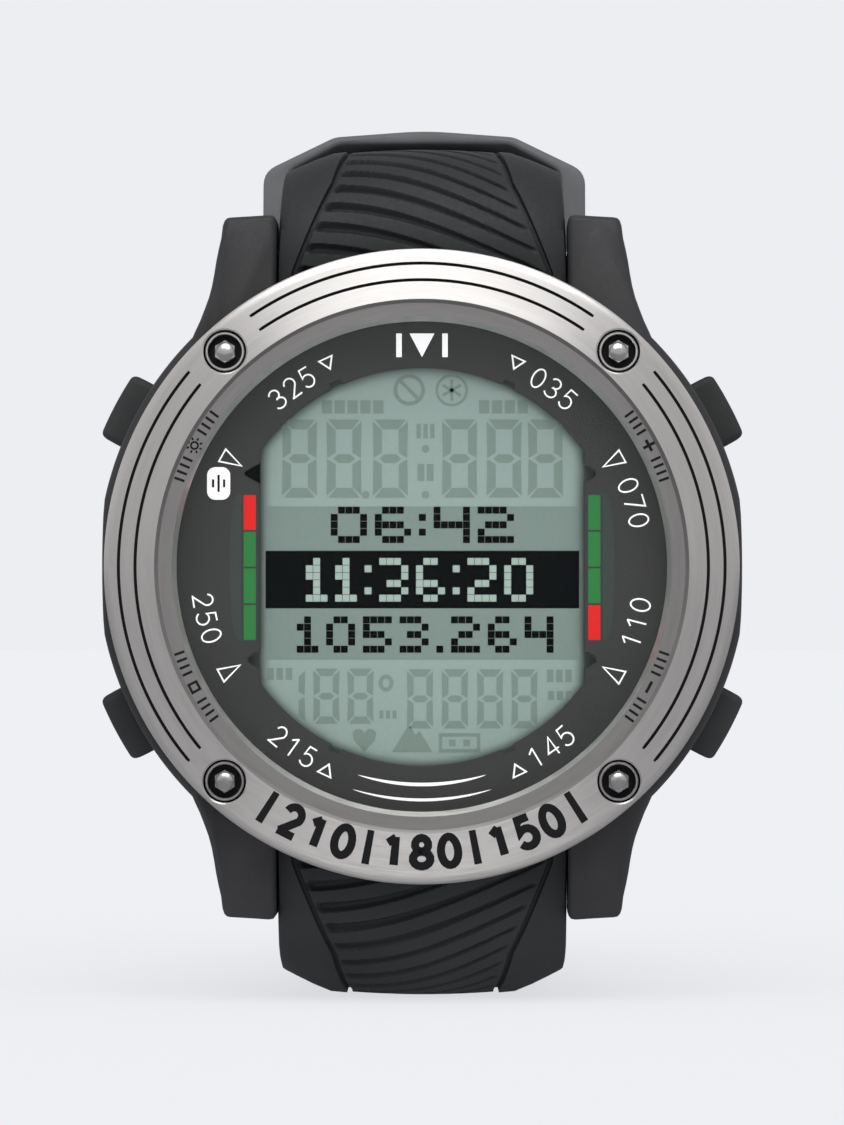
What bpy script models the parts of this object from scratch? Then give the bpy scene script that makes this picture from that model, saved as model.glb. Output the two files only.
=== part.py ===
"""Wrist dive computer: steel bezel, sealed polymer case, four push buttons and a buckled rubber strap.

The watch stands upright on the flat foot of its closed strap loop.
+Z is towards 12 o'clock, +X towards 3 o'clock and the dial faces -Y.
The origin is the middle of the strap's foot.

All sizes below are in millimetres; add_object turns them into metres.
Head pieces are placed from the head's own point: the centre of the bezel's front plane.
Depth is measured backwards from that plane and height upwards from the dial's centre.
"""

import math
from collections import namedtuple

import bmesh
import bpy

MM = 0.001
GAP = 0.3  # clearance kept between neighbouring pieces

# Where the head is, seen from the strap's foot
HEAD_HEIGHT = 33.2
FOOT_DEPTH = 26.4

# Head, from the front backwards: depths
BEZEL_BACK = 3.0
CRYSTAL_FRONT, CRYSTAL_BACK = 1.8, 3.8
CASE_FRONT, CASE_BACK = 3.3, 13.2
CRYSTAL_SEAT = 5.0
RING_FRONT, RING_BACK = 4.1, 4.7
LCD_FRONT, LCD_BACK = 5.0, 6.6
STRIP_FRONT, STRIP_BACK = 6.9, 8.0
GUIDE_BACK = 7.6
BOARD_FRONT, BOARD_BACK = 8.3, 9.1
CHIP_FRONT = BOARD_BACK + GAP
CELL_FRONT, CELL_BACK = 9.9, 14.9
BACK_FRONT, BACK_BACK = 13.5, 15.9
CAP_FRONT, CAP_BACK = 15.2, 16.6

# Head, radii
BEZEL_RADIUS = 24.0
BEZEL_FLAT_RADIUS = 20.15
BEZEL_LIP_RADIUS = 18.55
SEAT_RADIUS = 19.6
CRYSTAL_RADIUS = 19.2
CASE_RADIUS = 24.7
CASE_HALF_WIDTH = 24.35  # the sides at 3 and 9 o'clock are nearly flat
CAVITY_RADIUS = 17.9
WINDOW_RADIUS = 15.1
WINDOW_HALF_WIDTH = 12.2
LCD_RADIUS = 17.3
LCD_HALF_HEIGHT = 16.2
BOARD_RADIUS = 15.4
CELL_RADIUS = 12.25
CAP_NECK_RADIUS = 13.3
CAP_FLANGE_RADIUS = 15.3
CAP_HOLE_RADIUS = 14.6
PORT_RADIUS_FROM_AXIS = 16.8

# Screws, bezel and case back alike
SCREW_CIRCLE = 22.0
SCREW_ANGLES = (47.5, 132.5, 227.5, 312.5)
SCREW_HEAD_RADIUS = 1.25
SCREW_SHANK_RADIUS = 0.75
SCREW_RECESS_RADIUS = 1.6

# Lugs and spring bars
LUG_INNER = 11.25
LUG_TIP = 26.9
STRAP_NOTCH = 20.7
BAR_DEPTH, BAR_HEIGHT = 9.8, 24.0
BAR_RADIUS = 0.9
BAR_TIP_RADIUS = 0.5
BAR_HALF_LENGTH = 12.4
BAR_SHOULDER = 10.7
LUG_HOLE_RADIUS, LUG_HOLE_END = 0.8, 12.7
STRAP_HOLE_RADIUS = BAR_RADIUS + GAP
BEYOND_STRAP = 14.0  # half-length of a cutter that goes right through the strap

# Buttons: distances along the button's own axis, out from the head's centre
BUTTON_DEPTH = 8.8
BUTTON_ANGLES = {"light": 152.0, "up": 28.0, "select": 208.0, "down": 332.0}
BUTTON_FACE = 26.6
BUTTON_INNER_FACE = 22.9
BUTTON_TANGENT, BUTTON_AXIAL = 5.4, 4.8
BUTTON_CORNER = 0.55
POCKET_FLOOR = 20.3
SEAL_FLOOR = 19.0
STEM_RADIUS = 0.8
STEM_END = 16.7
CLIP_LOW, CLIP_HIGH = 17.1, 17.5
CLIP_GROOVE_RADIUS = 0.5
SEAL_SEAT_RADIUS = 1.8
SWITCH_CIRCLE = 13.7
SPRING_RADIUS, SPRING_WIRE, SPRING_COILS = 2.1, 0.18, 2.5

# Strap: thickness of the gap-free tail, and the path's bends
TAIL_THICKNESS = 2.2
STRAP_HALF_WIDTH = 10.95
STRAP_FRONT = 5.0
STRAP_START = 21.0
LUG_RUN = 2.8
UPPER_BEND, LOWER_BEND = 8.8, 9.4
CROWN_RADIUS, CROWN_TURN = 80.0, 14.0
SLOPE_RUN = 12.0
BACK_RADIUS = 28.0
LOWER_BACK_RADIUS = 30.0
EYE_RUN = 4.0

# Buckle
PIVOT_SINK = 2.17  # pivot axis below the upper strap's outer face
PIVOT_DROP = 1.75  # pivot axis past the end of the upper strap's back bend
PIVOT_RADIUS = 0.8
PIVOT_HOLE_RADIUS = PIVOT_RADIUS + GAP
PIVOT_HALF_LENGTH = 12.5
FRAME_THICKNESS = 2.3
NOTCH_HALF_WIDTH = 1.7
FRAME_INNER, FRAME_OUTER = 10.6, 12.8
FAR_BAR_RADIUS = 1.2
FAR_BAR_ANGLE = 18.5
TONGUE_HALF_WIDTH = 1.0
SLOT_LENGTH, SLOT_WIDTH, SLOT_PITCH = 6.6, 2.8, 9.2
SLOTS_BEFORE, SLOTS_AFTER = 4, 4

# Keepers: places along the upper strap, and the band's length along it
KEEPER_LENGTH = 6.0
FREE_KEEPER_AT = 34.0
FIXED_KEEPER_AT = 73.0


# ---------------------------------------------------------------- mesh helpers

def clear_scene():
    for item in list(bpy.data.objects):
        bpy.data.objects.remove(item, do_unlink=True)


def make_material(name, colour, roughness, metallic=0.0, alpha=1.0):
    material = bpy.data.materials.new(name)
    material.use_nodes = True
    shader = material.node_tree.nodes["Principled BSDF"]
    shader.inputs["Base Color"].default_value = (*colour, 1.0)
    shader.inputs["Roughness"].default_value = roughness
    shader.inputs["Metallic"].default_value = metallic
    shader.inputs["Alpha"].default_value = alpha
    return material


def add_object(name, shape, paint, parent, place=(0, 0, 0), turn=(0, 0, 0)):
    """One closed body from (vertices, faces) in millimetres, with its normals pointing out."""
    vertices, faces = shape
    mesh = bpy.data.meshes.new(name)
    mesh.from_pydata([[c * MM for c in vertex] for vertex in vertices], [], faces)
    body = bmesh.new()
    body.from_mesh(mesh)
    bmesh.ops.recalc_face_normals(body, faces=body.faces)
    body.to_mesh(mesh)
    body.free()
    mesh.shade_smooth()
    mesh.set_sharp_from_angle(angle=math.radians(35))
    item = bpy.data.objects.new(name, mesh)
    bpy.context.scene.collection.objects.link(item)
    item.location = [c * MM for c in place]
    item.rotation_euler = turn
    item.parent = parent
    if paint:
        mesh.materials.append(make_material(name, *paint))
    return item


def add_cutter(name, shape, parent, place=(0, 0, 0), turn=(0, 0, 0)):
    cutter = add_object(name, shape, None, parent, place, turn)
    cutter.hide_render = True
    cutter.display_type = "WIRE"
    return cutter


def apply_boolean(target, tool, operation="DIFFERENCE"):
    modifier = target.modifiers.new(tool.name, "BOOLEAN")
    modifier.operation = operation
    modifier.object = tool
    modifier.solver = "EXACT"


def join_shapes(shapes):
    """Several separate closed shapes as one list of vertices and faces, for a cutter."""
    vertices, faces = [], []
    for more_vertices, more_faces in shapes:
        start = len(vertices)
        vertices += more_vertices
        faces += [[start + index for index in face] for face in more_faces]
    return vertices, faces


def turned(profile, sides, axis="Y", centre=(0, 0, 0)):
    """A profile of (radius, along) spun round an axis; radius 0 at both ends makes a solid."""
    vertices, rings = [], []
    for radius, along in profile:
        ring = []
        for step in range(1 if radius == 0 else sides):
            angle = 2 * math.pi * step / sides
            across, up = radius * math.cos(angle), radius * math.sin(angle)
            point = {"X": (along, across, up), "Y": (across, along, up), "Z": (across, up, along)}[axis]
            ring.append(len(vertices))
            vertices.append(tuple(c + offset for c, offset in zip(point, centre)))
        rings.append(ring)
    faces = []
    solid = len(rings[0]) == 1
    pairs = list(zip(rings, rings[1:]))
    if not solid:
        pairs.append((rings[-1], rings[0]))
    for one, other in pairs:
        for step in range(sides):
            after = (step + 1) % sides
            corners = [one[step % len(one)], one[after % len(one)],
                       other[after % len(other)], other[step % len(other)]]
            faces.append(list(dict.fromkeys(corners)))
    return vertices, faces


def cross_rod(radius, half_length, sides, depth=0.0, height=0.0):
    """A plain rod across the strap, for pins and for the holes that take them."""
    profile = [(0, -half_length), (radius, -half_length), (radius, half_length), (0, half_length)]
    return turned(profile, sides, "X", (0, depth, height))


def round_section(centre_radius, centre_along, radius, points=6):
    """The profile of an O-ring, for turned()."""
    steps = [2 * math.pi * (step + 0.5) / points for step in range(points)]
    return [(centre_radius + radius * math.cos(a), centre_along + radius * math.sin(a)) for a in steps]


def lofted(rings):
    """A solid skin over rings with equal numbers of points, capped at both ends."""
    count = len(rings[0])
    vertices = [point for ring in rings for point in ring]
    faces = [list(range(count)), list(range(len(vertices) - count, len(vertices)))]
    for start in range(0, len(vertices) - count, count):
        for step in range(count):
            after = (step + 1) % count
            faces.append([start + step, start + after, start + count + after, start + count + step])
    return vertices, faces


def plate(outline, front, back):
    """An outline of (x, height) points given thickness in depth."""
    return lofted([[(x, depth, height) for x, height in outline] for depth in (front, back)])


def box(low, high):
    outline = [(low[0], low[2]), (high[0], low[2]), (high[0], high[2]), (low[0], high[2])]
    return plate(outline, low[1], high[1])


def band(outer, inner, low, high):
    """A closed band whose section round its hole runs between two outlines of (x, z) points."""
    loops = [(outer, low), (outer, high), (inner, high), (inner, low)]
    vertices = [(x, along, z) for outline, along in loops for x, z in outline]
    count = len(outer)
    faces = []
    for loop in range(4):
        here, there = loop * count, (loop + 1) % 4 * count
        for step in range(count):
            after = (step + 1) % count
            faces.append([here + step, here + after, there + after, there + step])
    return vertices, faces


def arc(radius, low, high, steps):
    """Points (x, height) on a circle between two angles in degrees."""
    angles = [math.radians(low + (high - low) * step / steps) for step in range(steps + 1)]
    return [(radius * math.cos(a), radius * math.sin(a)) for a in angles]


def rounded_rectangle(half_width, half_height, corner, steps=2):
    points = []
    for quarter, (side, end) in enumerate(((1, 1), (-1, 1), (-1, -1), (1, -1))):
        for x, y in arc(corner, 90 * quarter, 90 * quarter + 90, steps):
            points.append((side * (half_width - corner) + x, end * (half_height - corner) + y))
    return points


def clipped_circle(radius, half_width=None, half_height=None, steps=6):
    """A circle with flats at the two sides or at top and bottom."""
    if half_width:
        reach = math.degrees(math.acos(half_width / radius))
        return arc(radius, reach, 180 - reach, steps * 2) + arc(radius, 180 + reach, 360 - reach, steps * 2)
    reach = math.degrees(math.asin(half_height / radius))
    return arc(radius, -reach, reach, steps * 2) + arc(radius, 180 - reach, 180 + reach, steps * 2)


def on_circle(radius, degrees):
    return radius * math.cos(math.radians(degrees)), radius * math.sin(math.radians(degrees))


# ---------------------------------------------------------------- the strap's path

Section = namedtuple(
    "Section",
    "at half_width crown drop thickness inner_crown inner_drop sink",
    defaults=(0.0,),
)


class Path:
    """Lines and arcs in the (depth, height) plane. side is +1 where outwards is on the left."""

    def __init__(self, depth, height, heading, side, runs):
        self.start = (depth, height, math.radians(heading))
        self.side = side
        self.runs = [(length, math.radians(turn)) for length, turn in runs]

    def length(self):
        return sum(length for length, _ in self.runs)

    def ends(self):
        """Distances at which one run gives way to the next."""
        distances, total = [0.0], 0.0
        for length, _ in self.runs:
            total += length
            distances.append(total)
        return distances

    def place(self, distance):
        """Depth, height and heading at a distance along the path."""
        depth, height, heading = self.start
        for length, turn in self.runs:
            step = min(distance, length)
            if turn:
                bend = turn / length
                after = heading + bend * step
                depth += (math.sin(after) - math.sin(heading)) / bend
                height -= (math.cos(after) - math.cos(heading)) / bend
                heading = after
            else:
                depth += step * math.cos(heading)
                height += step * math.sin(heading)
            distance -= step
            if distance <= 1e-9:
                break
        return depth, height, heading

    def point(self, distance, x, out):
        """A point beside the path: x across the strap, out along the outward normal."""
        depth, height, heading = self.place(distance)
        return (x,
                depth - self.side * out * math.sin(heading),
                height + self.side * out * math.cos(heading))


def arc_run(radius, turn):
    return radius * math.radians(abs(turn)), turn


def upper_path():
    return Path(STRAP_FRONT, STRAP_START, 90, 1, [
        (LUG_RUN, 0),
        arc_run(UPPER_BEND, -90),
        arc_run(CROWN_RADIUS, -CROWN_TURN),
        (SLOPE_RUN, 0),
        arc_run(BACK_RADIUS, CROWN_TURN - 90),
        (EYE_RUN, 0),
    ])


def lower_path(upper):
    """The long half: round the foot and the back, then outside the upper half to the tail's tip."""
    back_depth, back_height, _ = upper.place(upper.length() - EYE_RUN)
    lift = TAIL_THICKNESS + GAP
    foot_height = -(STRAP_START + LUG_RUN + LOWER_BEND)
    foot_start = STRAP_FRONT + LOWER_BEND
    foot_end = back_depth + lift - LOWER_BACK_RADIUS
    tail_turn = 4.1
    return Path(STRAP_FRONT, -STRAP_START, -90, -1, [
        (LUG_RUN, 0),
        arc_run(LOWER_BEND, 90),
        (foot_end - foot_start, 0),
        arc_run(LOWER_BACK_RADIUS, 90),
        (back_height - foot_height - LOWER_BACK_RADIUS, 0),
        arc_run(BACK_RADIUS + lift, 90 - CROWN_TURN),
        (SLOPE_RUN, 0),
        arc_run(CROWN_RADIUS + lift, tail_turn),
    ])


def section_at(sections, distance):
    """Straight-line blend of the two listed sections on either side."""
    for low, high in zip(sections, sections[1:]):
        if distance <= high.at:
            share = (distance - low.at) / (high.at - low.at)
            return Section(*(a + (b - a) * share for a, b in zip(low, high)))
    return sections[-1]


def stations(path, sections, longest=5.0, most_turn=12.0):
    """Distances for the loft: every change of run or section, and steps fine enough for the bends."""
    marks = sorted(set(round(m, 4) for m in path.ends() + [s.at for s in sections]))
    marks = [m for m in marks if m <= sections[-1].at + 1e-6]
    result = [marks[0]]
    for low, high in zip(marks, marks[1:]):
        turn = math.degrees(abs(path.place(high)[2] - path.place(low)[2]))
        steps = max(1, math.ceil(turn / most_turn)) if turn > 0.01 else 1
        if turn > 0.01:
            steps = max(steps, math.ceil((high - low) / longest / 2))
        result += [low + (high - low) * (step + 1) / steps for step in range(steps)]
    return result


def strap_shape(path, sections):
    rings = []
    for distance in stations(path, sections):
        s = section_at(sections, distance)
        right = [
            (s.crown, -s.sink),
            (s.half_width, -s.sink - s.drop),
            (s.half_width, -s.sink - s.thickness - s.inner_drop),
            (s.inner_crown, -s.sink - s.thickness),
        ]
        left = [(-x, out) for x, out in reversed(right)]
        rings.append([path.point(distance, x, out) for x, out in right + left])
    return lofted(rings)


# ---------------------------------------------------------------- the head

def add_bezel(head):
    profile = [
        (BEZEL_RADIUS - 0.3, 0.0),
        (BEZEL_RADIUS, 0.3),
        (BEZEL_RADIUS, BEZEL_BACK),
        (SEAT_RADIUS, BEZEL_BACK),
        (SEAT_RADIUS, CRYSTAL_FRONT - GAP),
        (BEZEL_LIP_RADIUS, CRYSTAL_FRONT - GAP),
        (BEZEL_LIP_RADIUS, 0.9),
        (BEZEL_FLAT_RADIUS, 0.0),
    ]
    bezel = add_object("bezel_ring", turned(profile, 64), ((0.60, 0.59, 0.58), 0.32, 1.0), head)
    hole = [(0, -1), (SCREW_RECESS_RADIUS, -1), (SCREW_RECESS_RADIUS, 1.5),
            (SCREW_SHANK_RADIUS + GAP, 1.5), (SCREW_SHANK_RADIUS + GAP, 4), (0, 4)]
    apply_boolean(bezel, add_cutter("bezel_holes", screw_copies(hole), head))


def screw_copies(profile, sides=12):
    """A turned profile repeated at the four screws, as one cutter."""
    shapes = []
    for degrees in SCREW_ANGLES:
        x, height = on_circle(SCREW_CIRCLE, degrees)
        shapes.append(turned(profile, sides, centre=(x, 0, height)))
    return join_shapes(shapes)


def add_screws(head, name, face, tip, seat):
    """Four socket screws whose heads lie at depth face and whose tips reach depth tip."""
    inward = 1 if tip > face else -1
    for number, degrees in enumerate(SCREW_ANGLES, 1):
        x, height = on_circle(SCREW_CIRCLE, degrees)
        socket = face + 0.7 * inward
        profile = [
            (0, socket), (0.62, socket), (0.62, face), (SCREW_HEAD_RADIUS, face),
            (SCREW_HEAD_RADIUS, seat), (SCREW_SHANK_RADIUS, seat), (SCREW_SHANK_RADIUS, tip), (0, tip),
        ]
        add_object(f"{name}_{number}", turned(profile, 12), ((0.55, 0.55, 0.55), 0.25, 1.0), head,
                   place=(x, 0, height))


def add_crystal_stack(head):
    edge = 0.25
    crystal = [(0, CRYSTAL_FRONT), (CRYSTAL_RADIUS - edge, CRYSTAL_FRONT),
               (CRYSTAL_RADIUS, CRYSTAL_FRONT + edge), (CRYSTAL_RADIUS, CRYSTAL_BACK), (0, CRYSTAL_BACK)]
    add_object("crystal", turned(crystal, 40), ((0.9, 0.95, 0.95), 0.02, 0.0, 0.25), head)
    gasket = [(18.3, RING_FRONT), (19.3, RING_FRONT), (19.3, RING_BACK), (18.3, RING_BACK)]
    add_object("crystal_gasket", turned(gasket, 40), ((0.02, 0.02, 0.02), 0.7), head)
    ring = add_object("dial_ring", plate(arc(18.0, 0, 351, 39), RING_FRONT, RING_BACK),
                      ((0.06, 0.06, 0.06), 0.6), head)
    window = clipped_circle(WINDOW_RADIUS, half_width=WINDOW_HALF_WIDTH)
    apply_boolean(ring, add_cutter("dial_window", plate(window, 3, 6), head))


def add_display(head):
    outline = clipped_circle(LCD_RADIUS, half_height=LCD_HALF_HEIGHT)
    add_object("lcd_panel", plate(outline, LCD_FRONT, LCD_BACK), ((0.30, 0.36, 0.33), 0.35), head)
    guide = rounded_rectangle(12.6, 12.6, 2.0)
    add_object("light_guide", plate(guide, STRIP_FRONT, GUIDE_BACK), ((0.85, 0.87, 0.88), 0.3), head)
    for name, side in (("zebra_strip_top", 1), ("zebra_strip_bottom", -1)):
        low, high = sorted((13.0 * side, 14.1 * side))
        strip = box((-5.5, STRIP_FRONT, low), (5.5, STRIP_BACK, high))
        add_object(name, strip, ((0.75, 0.55, 0.55), 0.6), head)


def add_electronics(head):
    board = arc(BOARD_RADIUS, 0, 350, 35)
    add_object("circuit_board", plate(board, BOARD_FRONT, BOARD_BACK), ((0.02, 0.16, 0.07), 0.45), head)
    chips = {
        "processor_chip": ((12.8, -2.6), (15.0, 2.6), 0.9),
        "radio_module": ((-15.0, -2.4), (-12.8, 2.4), 1.0),
        "buzzer": ((-2.6, 12.8), (2.6, 15.0), 1.9),
    }
    for name, (low, high, height) in chips.items():
        chip = box((low[0], CHIP_FRONT, low[1]), (high[0], CHIP_FRONT + height, high[1]))
        add_object(name, chip, ((0.03, 0.03, 0.03), 0.4), head)
    sensor = [(0, 10.1), (1.2, 10.1), (1.2, 12.4), (0.9, 12.6), (0.9, 12.9), (0, 12.9)]
    add_object("pressure_sensor", turned(sensor, 16), ((0.7, 0.7, 0.68), 0.3, 1.0), head,
               place=(-16.2, 0, 0))


def add_battery(head):
    can = [(0, CELL_FRONT), (10.8, CELL_FRONT), (CELL_RADIUS, CELL_FRONT + 0.9),
           (CELL_RADIUS, CELL_BACK - 0.3), (CELL_RADIUS - 0.3, CELL_BACK), (0, CELL_BACK)]
    add_object("battery", turned(can, 36), ((0.72, 0.72, 0.72), 0.3, 1.0), head)
    leaf = [(0, 9.4), (5.0, 9.4), (5.0, 9.6), (0, 9.6)]
    add_object("battery_contact_minus", turned(leaf, 16), ((0.7, 0.6, 0.35), 0.3, 1.0), head)
    clip = arc(12.8, 250, 290, 4) + arc(12.55, 290, 250, 4)
    add_object("battery_contact_plus", plate(clip, CHIP_FRONT, 11.4), ((0.7, 0.6, 0.35), 0.3, 1.0), head)


def quarter_outline(inset):
    """The case seen from the front, from 3 o'clock round to the strap notch at 12 o'clock."""
    side = [(CASE_HALF_WIDTH - inset, 0), (CASE_HALF_WIDTH - 0.04 - inset, 2.6)]
    shoulder = arc(CASE_RADIUS - inset, 12, 45, 6)
    flank = [(17.28, 17.9), (16.57, 19.6), (16.02, 21.4), (15.71, 23.3), (15.34, 25.1), (15.07, 26.5)]
    tip = [(LUG_INNER + 0.3 + inset / 2, LUG_TIP - inset), (LUG_INNER, LUG_TIP - 0.3 - inset)]
    lug = [(x - inset, min(y, LUG_TIP - 0.2 - inset)) for x, y in flank] + tip
    return side + shoulder + lug + [(LUG_INNER, STRAP_NOTCH)]


def case_outline(inset):
    quarter = quarter_outline(inset)
    upper = quarter + [(-x, y) for x, y in reversed(quarter)]
    lower = [(-x, -y) for x, y in upper[1:-1]]
    return upper + lower


def add_case(head):
    rims = ((CASE_FRONT, 0.45), (CASE_FRONT + 0.9, 0.0), (11.0, 0.0), (CASE_BACK, 0.4))
    rings = [[(x, depth, height) for x, height in case_outline(inset)] for depth, inset in rims]
    case = add_object("case_body", lofted(rings), ((0.045, 0.045, 0.048), 0.55), head)
    cavity = [(0, 2), (SEAT_RADIUS, 2), (SEAT_RADIUS, CRYSTAL_SEAT), (CAVITY_RADIUS, CRYSTAL_SEAT),
              (CAVITY_RADIUS, 15), (0, 15)]
    apply_boolean(case, add_cutter("case_cavity", turned(cavity, 48), head))
    screw = SCREW_SHANK_RADIUS + GAP
    holes = join_shapes([
        screw_copies([(0, 2), (screw, 2), (screw, 9.6), (0, 9.6)], 8),
        screw_copies([(0, 10.7), (screw, 10.7), (screw, 15), (0, 15)], 8),
    ])
    apply_boolean(case, add_cutter("case_screw_holes", holes, head))
    for name, degrees in BUTTON_ANGLES.items():
        cut_button_pocket(case, name, degrees, head)
    bars = join_shapes([cross_rod(LUG_HOLE_RADIUS, LUG_HOLE_END, 8, BAR_DEPTH, side * BAR_HEIGHT)
                        for side in (1, -1)])
    apply_boolean(case, add_cutter("case_bar_holes", bars, head))
    apply_boolean(case, add_cutter("case_lug_slopes", lug_slopes(), head))


def lug_slopes():
    """Wedges that lay the lugs' front faces back from the shoulders to the tips."""
    reach, shapes = 20.0, []
    for side in (1, -1):
        wedge = [(1.0, 18.5), (CASE_FRONT, 18.5), (5.2, 28.0), (1.0, 28.0)]
        shapes.append(lofted([[(x, depth, side * height) for depth, height in wedge]
                              for x in (-reach, reach)]))
    return join_shapes(shapes)


def cut_button_pocket(case, name, degrees, head):
    """A rounded pocket for the cap, a seat for the seal and spring, and the stem's bore."""
    place, turn = (0, BUTTON_DEPTH, 0), (0, -math.radians(degrees), 0)
    stem, start, end = STEM_RADIUS + GAP, STEM_END - 0.2, POCKET_FLOOR + 0.5
    bore = [(0, start), (stem, start), (stem, SEAL_FLOOR), (SEAL_SEAT_RADIUS, SEAL_FLOOR),
            (SEAL_SEAT_RADIUS, end), (0, end)]
    pocket = rounded_rectangle(BUTTON_AXIAL / 2 + GAP, BUTTON_TANGENT / 2 + GAP, BUTTON_CORNER + GAP)
    hollow = lofted([[(out, y, z) for y, z in pocket] for out in (POCKET_FLOOR, 28)])
    apply_boolean(case, add_cutter(f"pocket_{name}", hollow, head, place, turn))
    apply_boolean(case, add_cutter(f"bore_{name}", turned(bore, 12, "X"), head, place, turn))


def add_case_back(head):
    outline = clipped_circle(CASE_RADIUS - 0.8, half_height=STRAP_NOTCH - 0.2)
    rim = clipped_circle(CASE_RADIUS - 1.6, half_height=STRAP_NOTCH - 0.8)
    rings = [[(x, depth, height) for x, height in shape]
             for depth, shape in ((BACK_FRONT, outline), (BACK_BACK - 0.7, outline), (BACK_BACK, rim))]
    back = add_object("case_back", lofted(rings), ((0.05, 0.05, 0.052), 0.5), head)
    hole = [(0, 12), (CAP_HOLE_RADIUS, 12), (CAP_HOLE_RADIUS, CAP_FRONT - GAP),
            (CAP_FLANGE_RADIUS + GAP, CAP_FRONT - GAP), (CAP_FLANGE_RADIUS + GAP, 18), (0, 18)]
    apply_boolean(back, add_cutter("back_hole", turned(hole, 40), head))
    groove = [(18.5, 13), (19.9, 13), (19.9, 14.6), (18.5, 14.6)]
    apply_boolean(back, add_cutter("back_groove", turned(groove, 40), head))
    screw = [(0, 12), (SCREW_SHANK_RADIUS + GAP, 12), (SCREW_SHANK_RADIUS + GAP, 14.8),
             (SCREW_RECESS_RADIUS, 14.8), (SCREW_RECESS_RADIUS, 17), (0, 17)]
    apply_boolean(back, add_cutter("back_screw_holes", screw_copies(screw), head))
    port = turned([(0, 12), (0.7, 12), (0.7, 17), (0, 17)], 12, centre=(-PORT_RADIUS_FROM_AXIS - 0.3, 0, 0))
    apply_boolean(back, add_cutter("back_port", port, head))
    seal = turned(round_section(19.2, 13.95, 0.38), 40)
    add_object("case_back_seal", seal, ((0.02, 0.02, 0.02), 0.7), head)


def add_battery_cap(head):
    cup = [(0, CAP_FRONT), (12.55, CAP_FRONT), (12.55, 11.8), (CAP_NECK_RADIUS, 11.8),
           (CAP_NECK_RADIUS, CAP_FRONT), (CAP_FLANGE_RADIUS, CAP_FRONT),
           (CAP_FLANGE_RADIUS, CAP_BACK - 0.3), (CAP_FLANGE_RADIUS - 0.3, CAP_BACK), (0, CAP_BACK)]
    cap = add_object("battery_cap", turned(cup, 40), ((0.06, 0.06, 0.062), 0.45), head)
    slot = box((-9, CAP_BACK - 0.8, -0.9), (9, CAP_BACK + 1, 0.9))
    apply_boolean(cap, add_cutter("coin_slot", slot, head))
    seal = turned(round_section(13.95, 14.45, 0.35), 40)
    add_object("battery_cap_seal", seal, ((0.02, 0.02, 0.02), 0.7), head)


def add_buttons(head):
    for name, degrees in BUTTON_ANGLES.items():
        place, turn = (0, BUTTON_DEPTH, 0), (0, -math.radians(degrees), 0)
        steps = ((BUTTON_INNER_FACE, 0.0), (BUTTON_FACE - 0.6, 0.0), (BUTTON_FACE - 0.2, 0.25),
                 (BUTTON_FACE, 0.7))
        rings = []
        for out, inset in steps:
            outline = rounded_rectangle(BUTTON_AXIAL / 2 - inset, BUTTON_TANGENT / 2 - inset,
                                        BUTTON_CORNER)
            rings.append([(out, y, z) for y, z in outline])
        button = add_object(f"button_{name}", lofted(rings), ((0.05, 0.052, 0.052), 0.6), head,
                            place, turn)
        groove_low, groove_high, inside_cap = CLIP_LOW - 0.15, CLIP_HIGH + 0.15, BUTTON_INNER_FACE + 0.6
        stem = [(0, STEM_END), (STEM_RADIUS, STEM_END), (STEM_RADIUS, groove_low),
                (CLIP_GROOVE_RADIUS, groove_low), (CLIP_GROOVE_RADIUS, groove_high),
                (STEM_RADIUS, groove_high), (STEM_RADIUS, inside_cap), (0, inside_cap)]
        apply_boolean(button, add_cutter(f"stem_{name}", turned(stem, 12, "X"), head, place, turn), "UNION")
        seal = turned(round_section(1.32, 19.65, 0.2), 12, "X")
        add_object(f"button_seal_{name}", seal, ((0.02, 0.02, 0.02), 0.7), head, place, turn)
        clip = arc(1.5, 20, 340, 8) + arc(0.65, 340, 20, 8)
        ring = lofted([[(out, y, z) for y, z in clip] for out in (CLIP_LOW, CLIP_HIGH)])
        add_object(f"button_clip_{name}", ring, ((0.6, 0.6, 0.6), 0.3, 1.0), head, place, turn)
        add_spring(f"button_spring_{name}", head, place, turn)
        half_height = 0.6
        x, height = on_circle(SWITCH_CIRCLE, degrees)
        switch = box((-0.75, -half_height, -1.3), (0.75, half_height, 1.3))
        add_object(f"switch_{name}", switch, ((0.65, 0.65, 0.62), 0.35, 1.0), head,
                   (x, CHIP_FRONT + half_height, height), turn)


def add_spring(name, head, place, turn, points=10):
    """A short coil spring between the pocket's floor and the button's cap, with so many points a coil."""
    low, high = POCKET_FLOOR + GAP + SPRING_WIRE, BUTTON_INNER_FACE - GAP - SPRING_WIRE
    curve = bpy.data.curves.new(name, "CURVE")
    curve.dimensions = "3D"
    curve.bevel_depth = SPRING_WIRE * MM
    curve.bevel_resolution = 0
    curve.use_fill_caps = True
    count = int(SPRING_COILS * points) + 1
    spline = curve.splines.new("POLY")
    spline.points.add(count - 1)
    for step in range(count):
        angle = 2 * math.pi * step / points
        along = low + (high - low) * step / (count - 1)
        spline.points[step].co = (along * MM, SPRING_RADIUS * math.cos(angle) * MM,
                                  SPRING_RADIUS * math.sin(angle) * MM, 1)
    curve.materials.append(make_material(name, (0.6, 0.6, 0.6), 0.3, 1.0))
    spring = bpy.data.objects.new(name, curve)
    bpy.context.scene.collection.objects.link(spring)
    spring.location = [c * MM for c in place]
    spring.rotation_euler = turn
    spring.parent = head


# ---------------------------------------------------------------- strap, buckle and keepers

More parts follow.
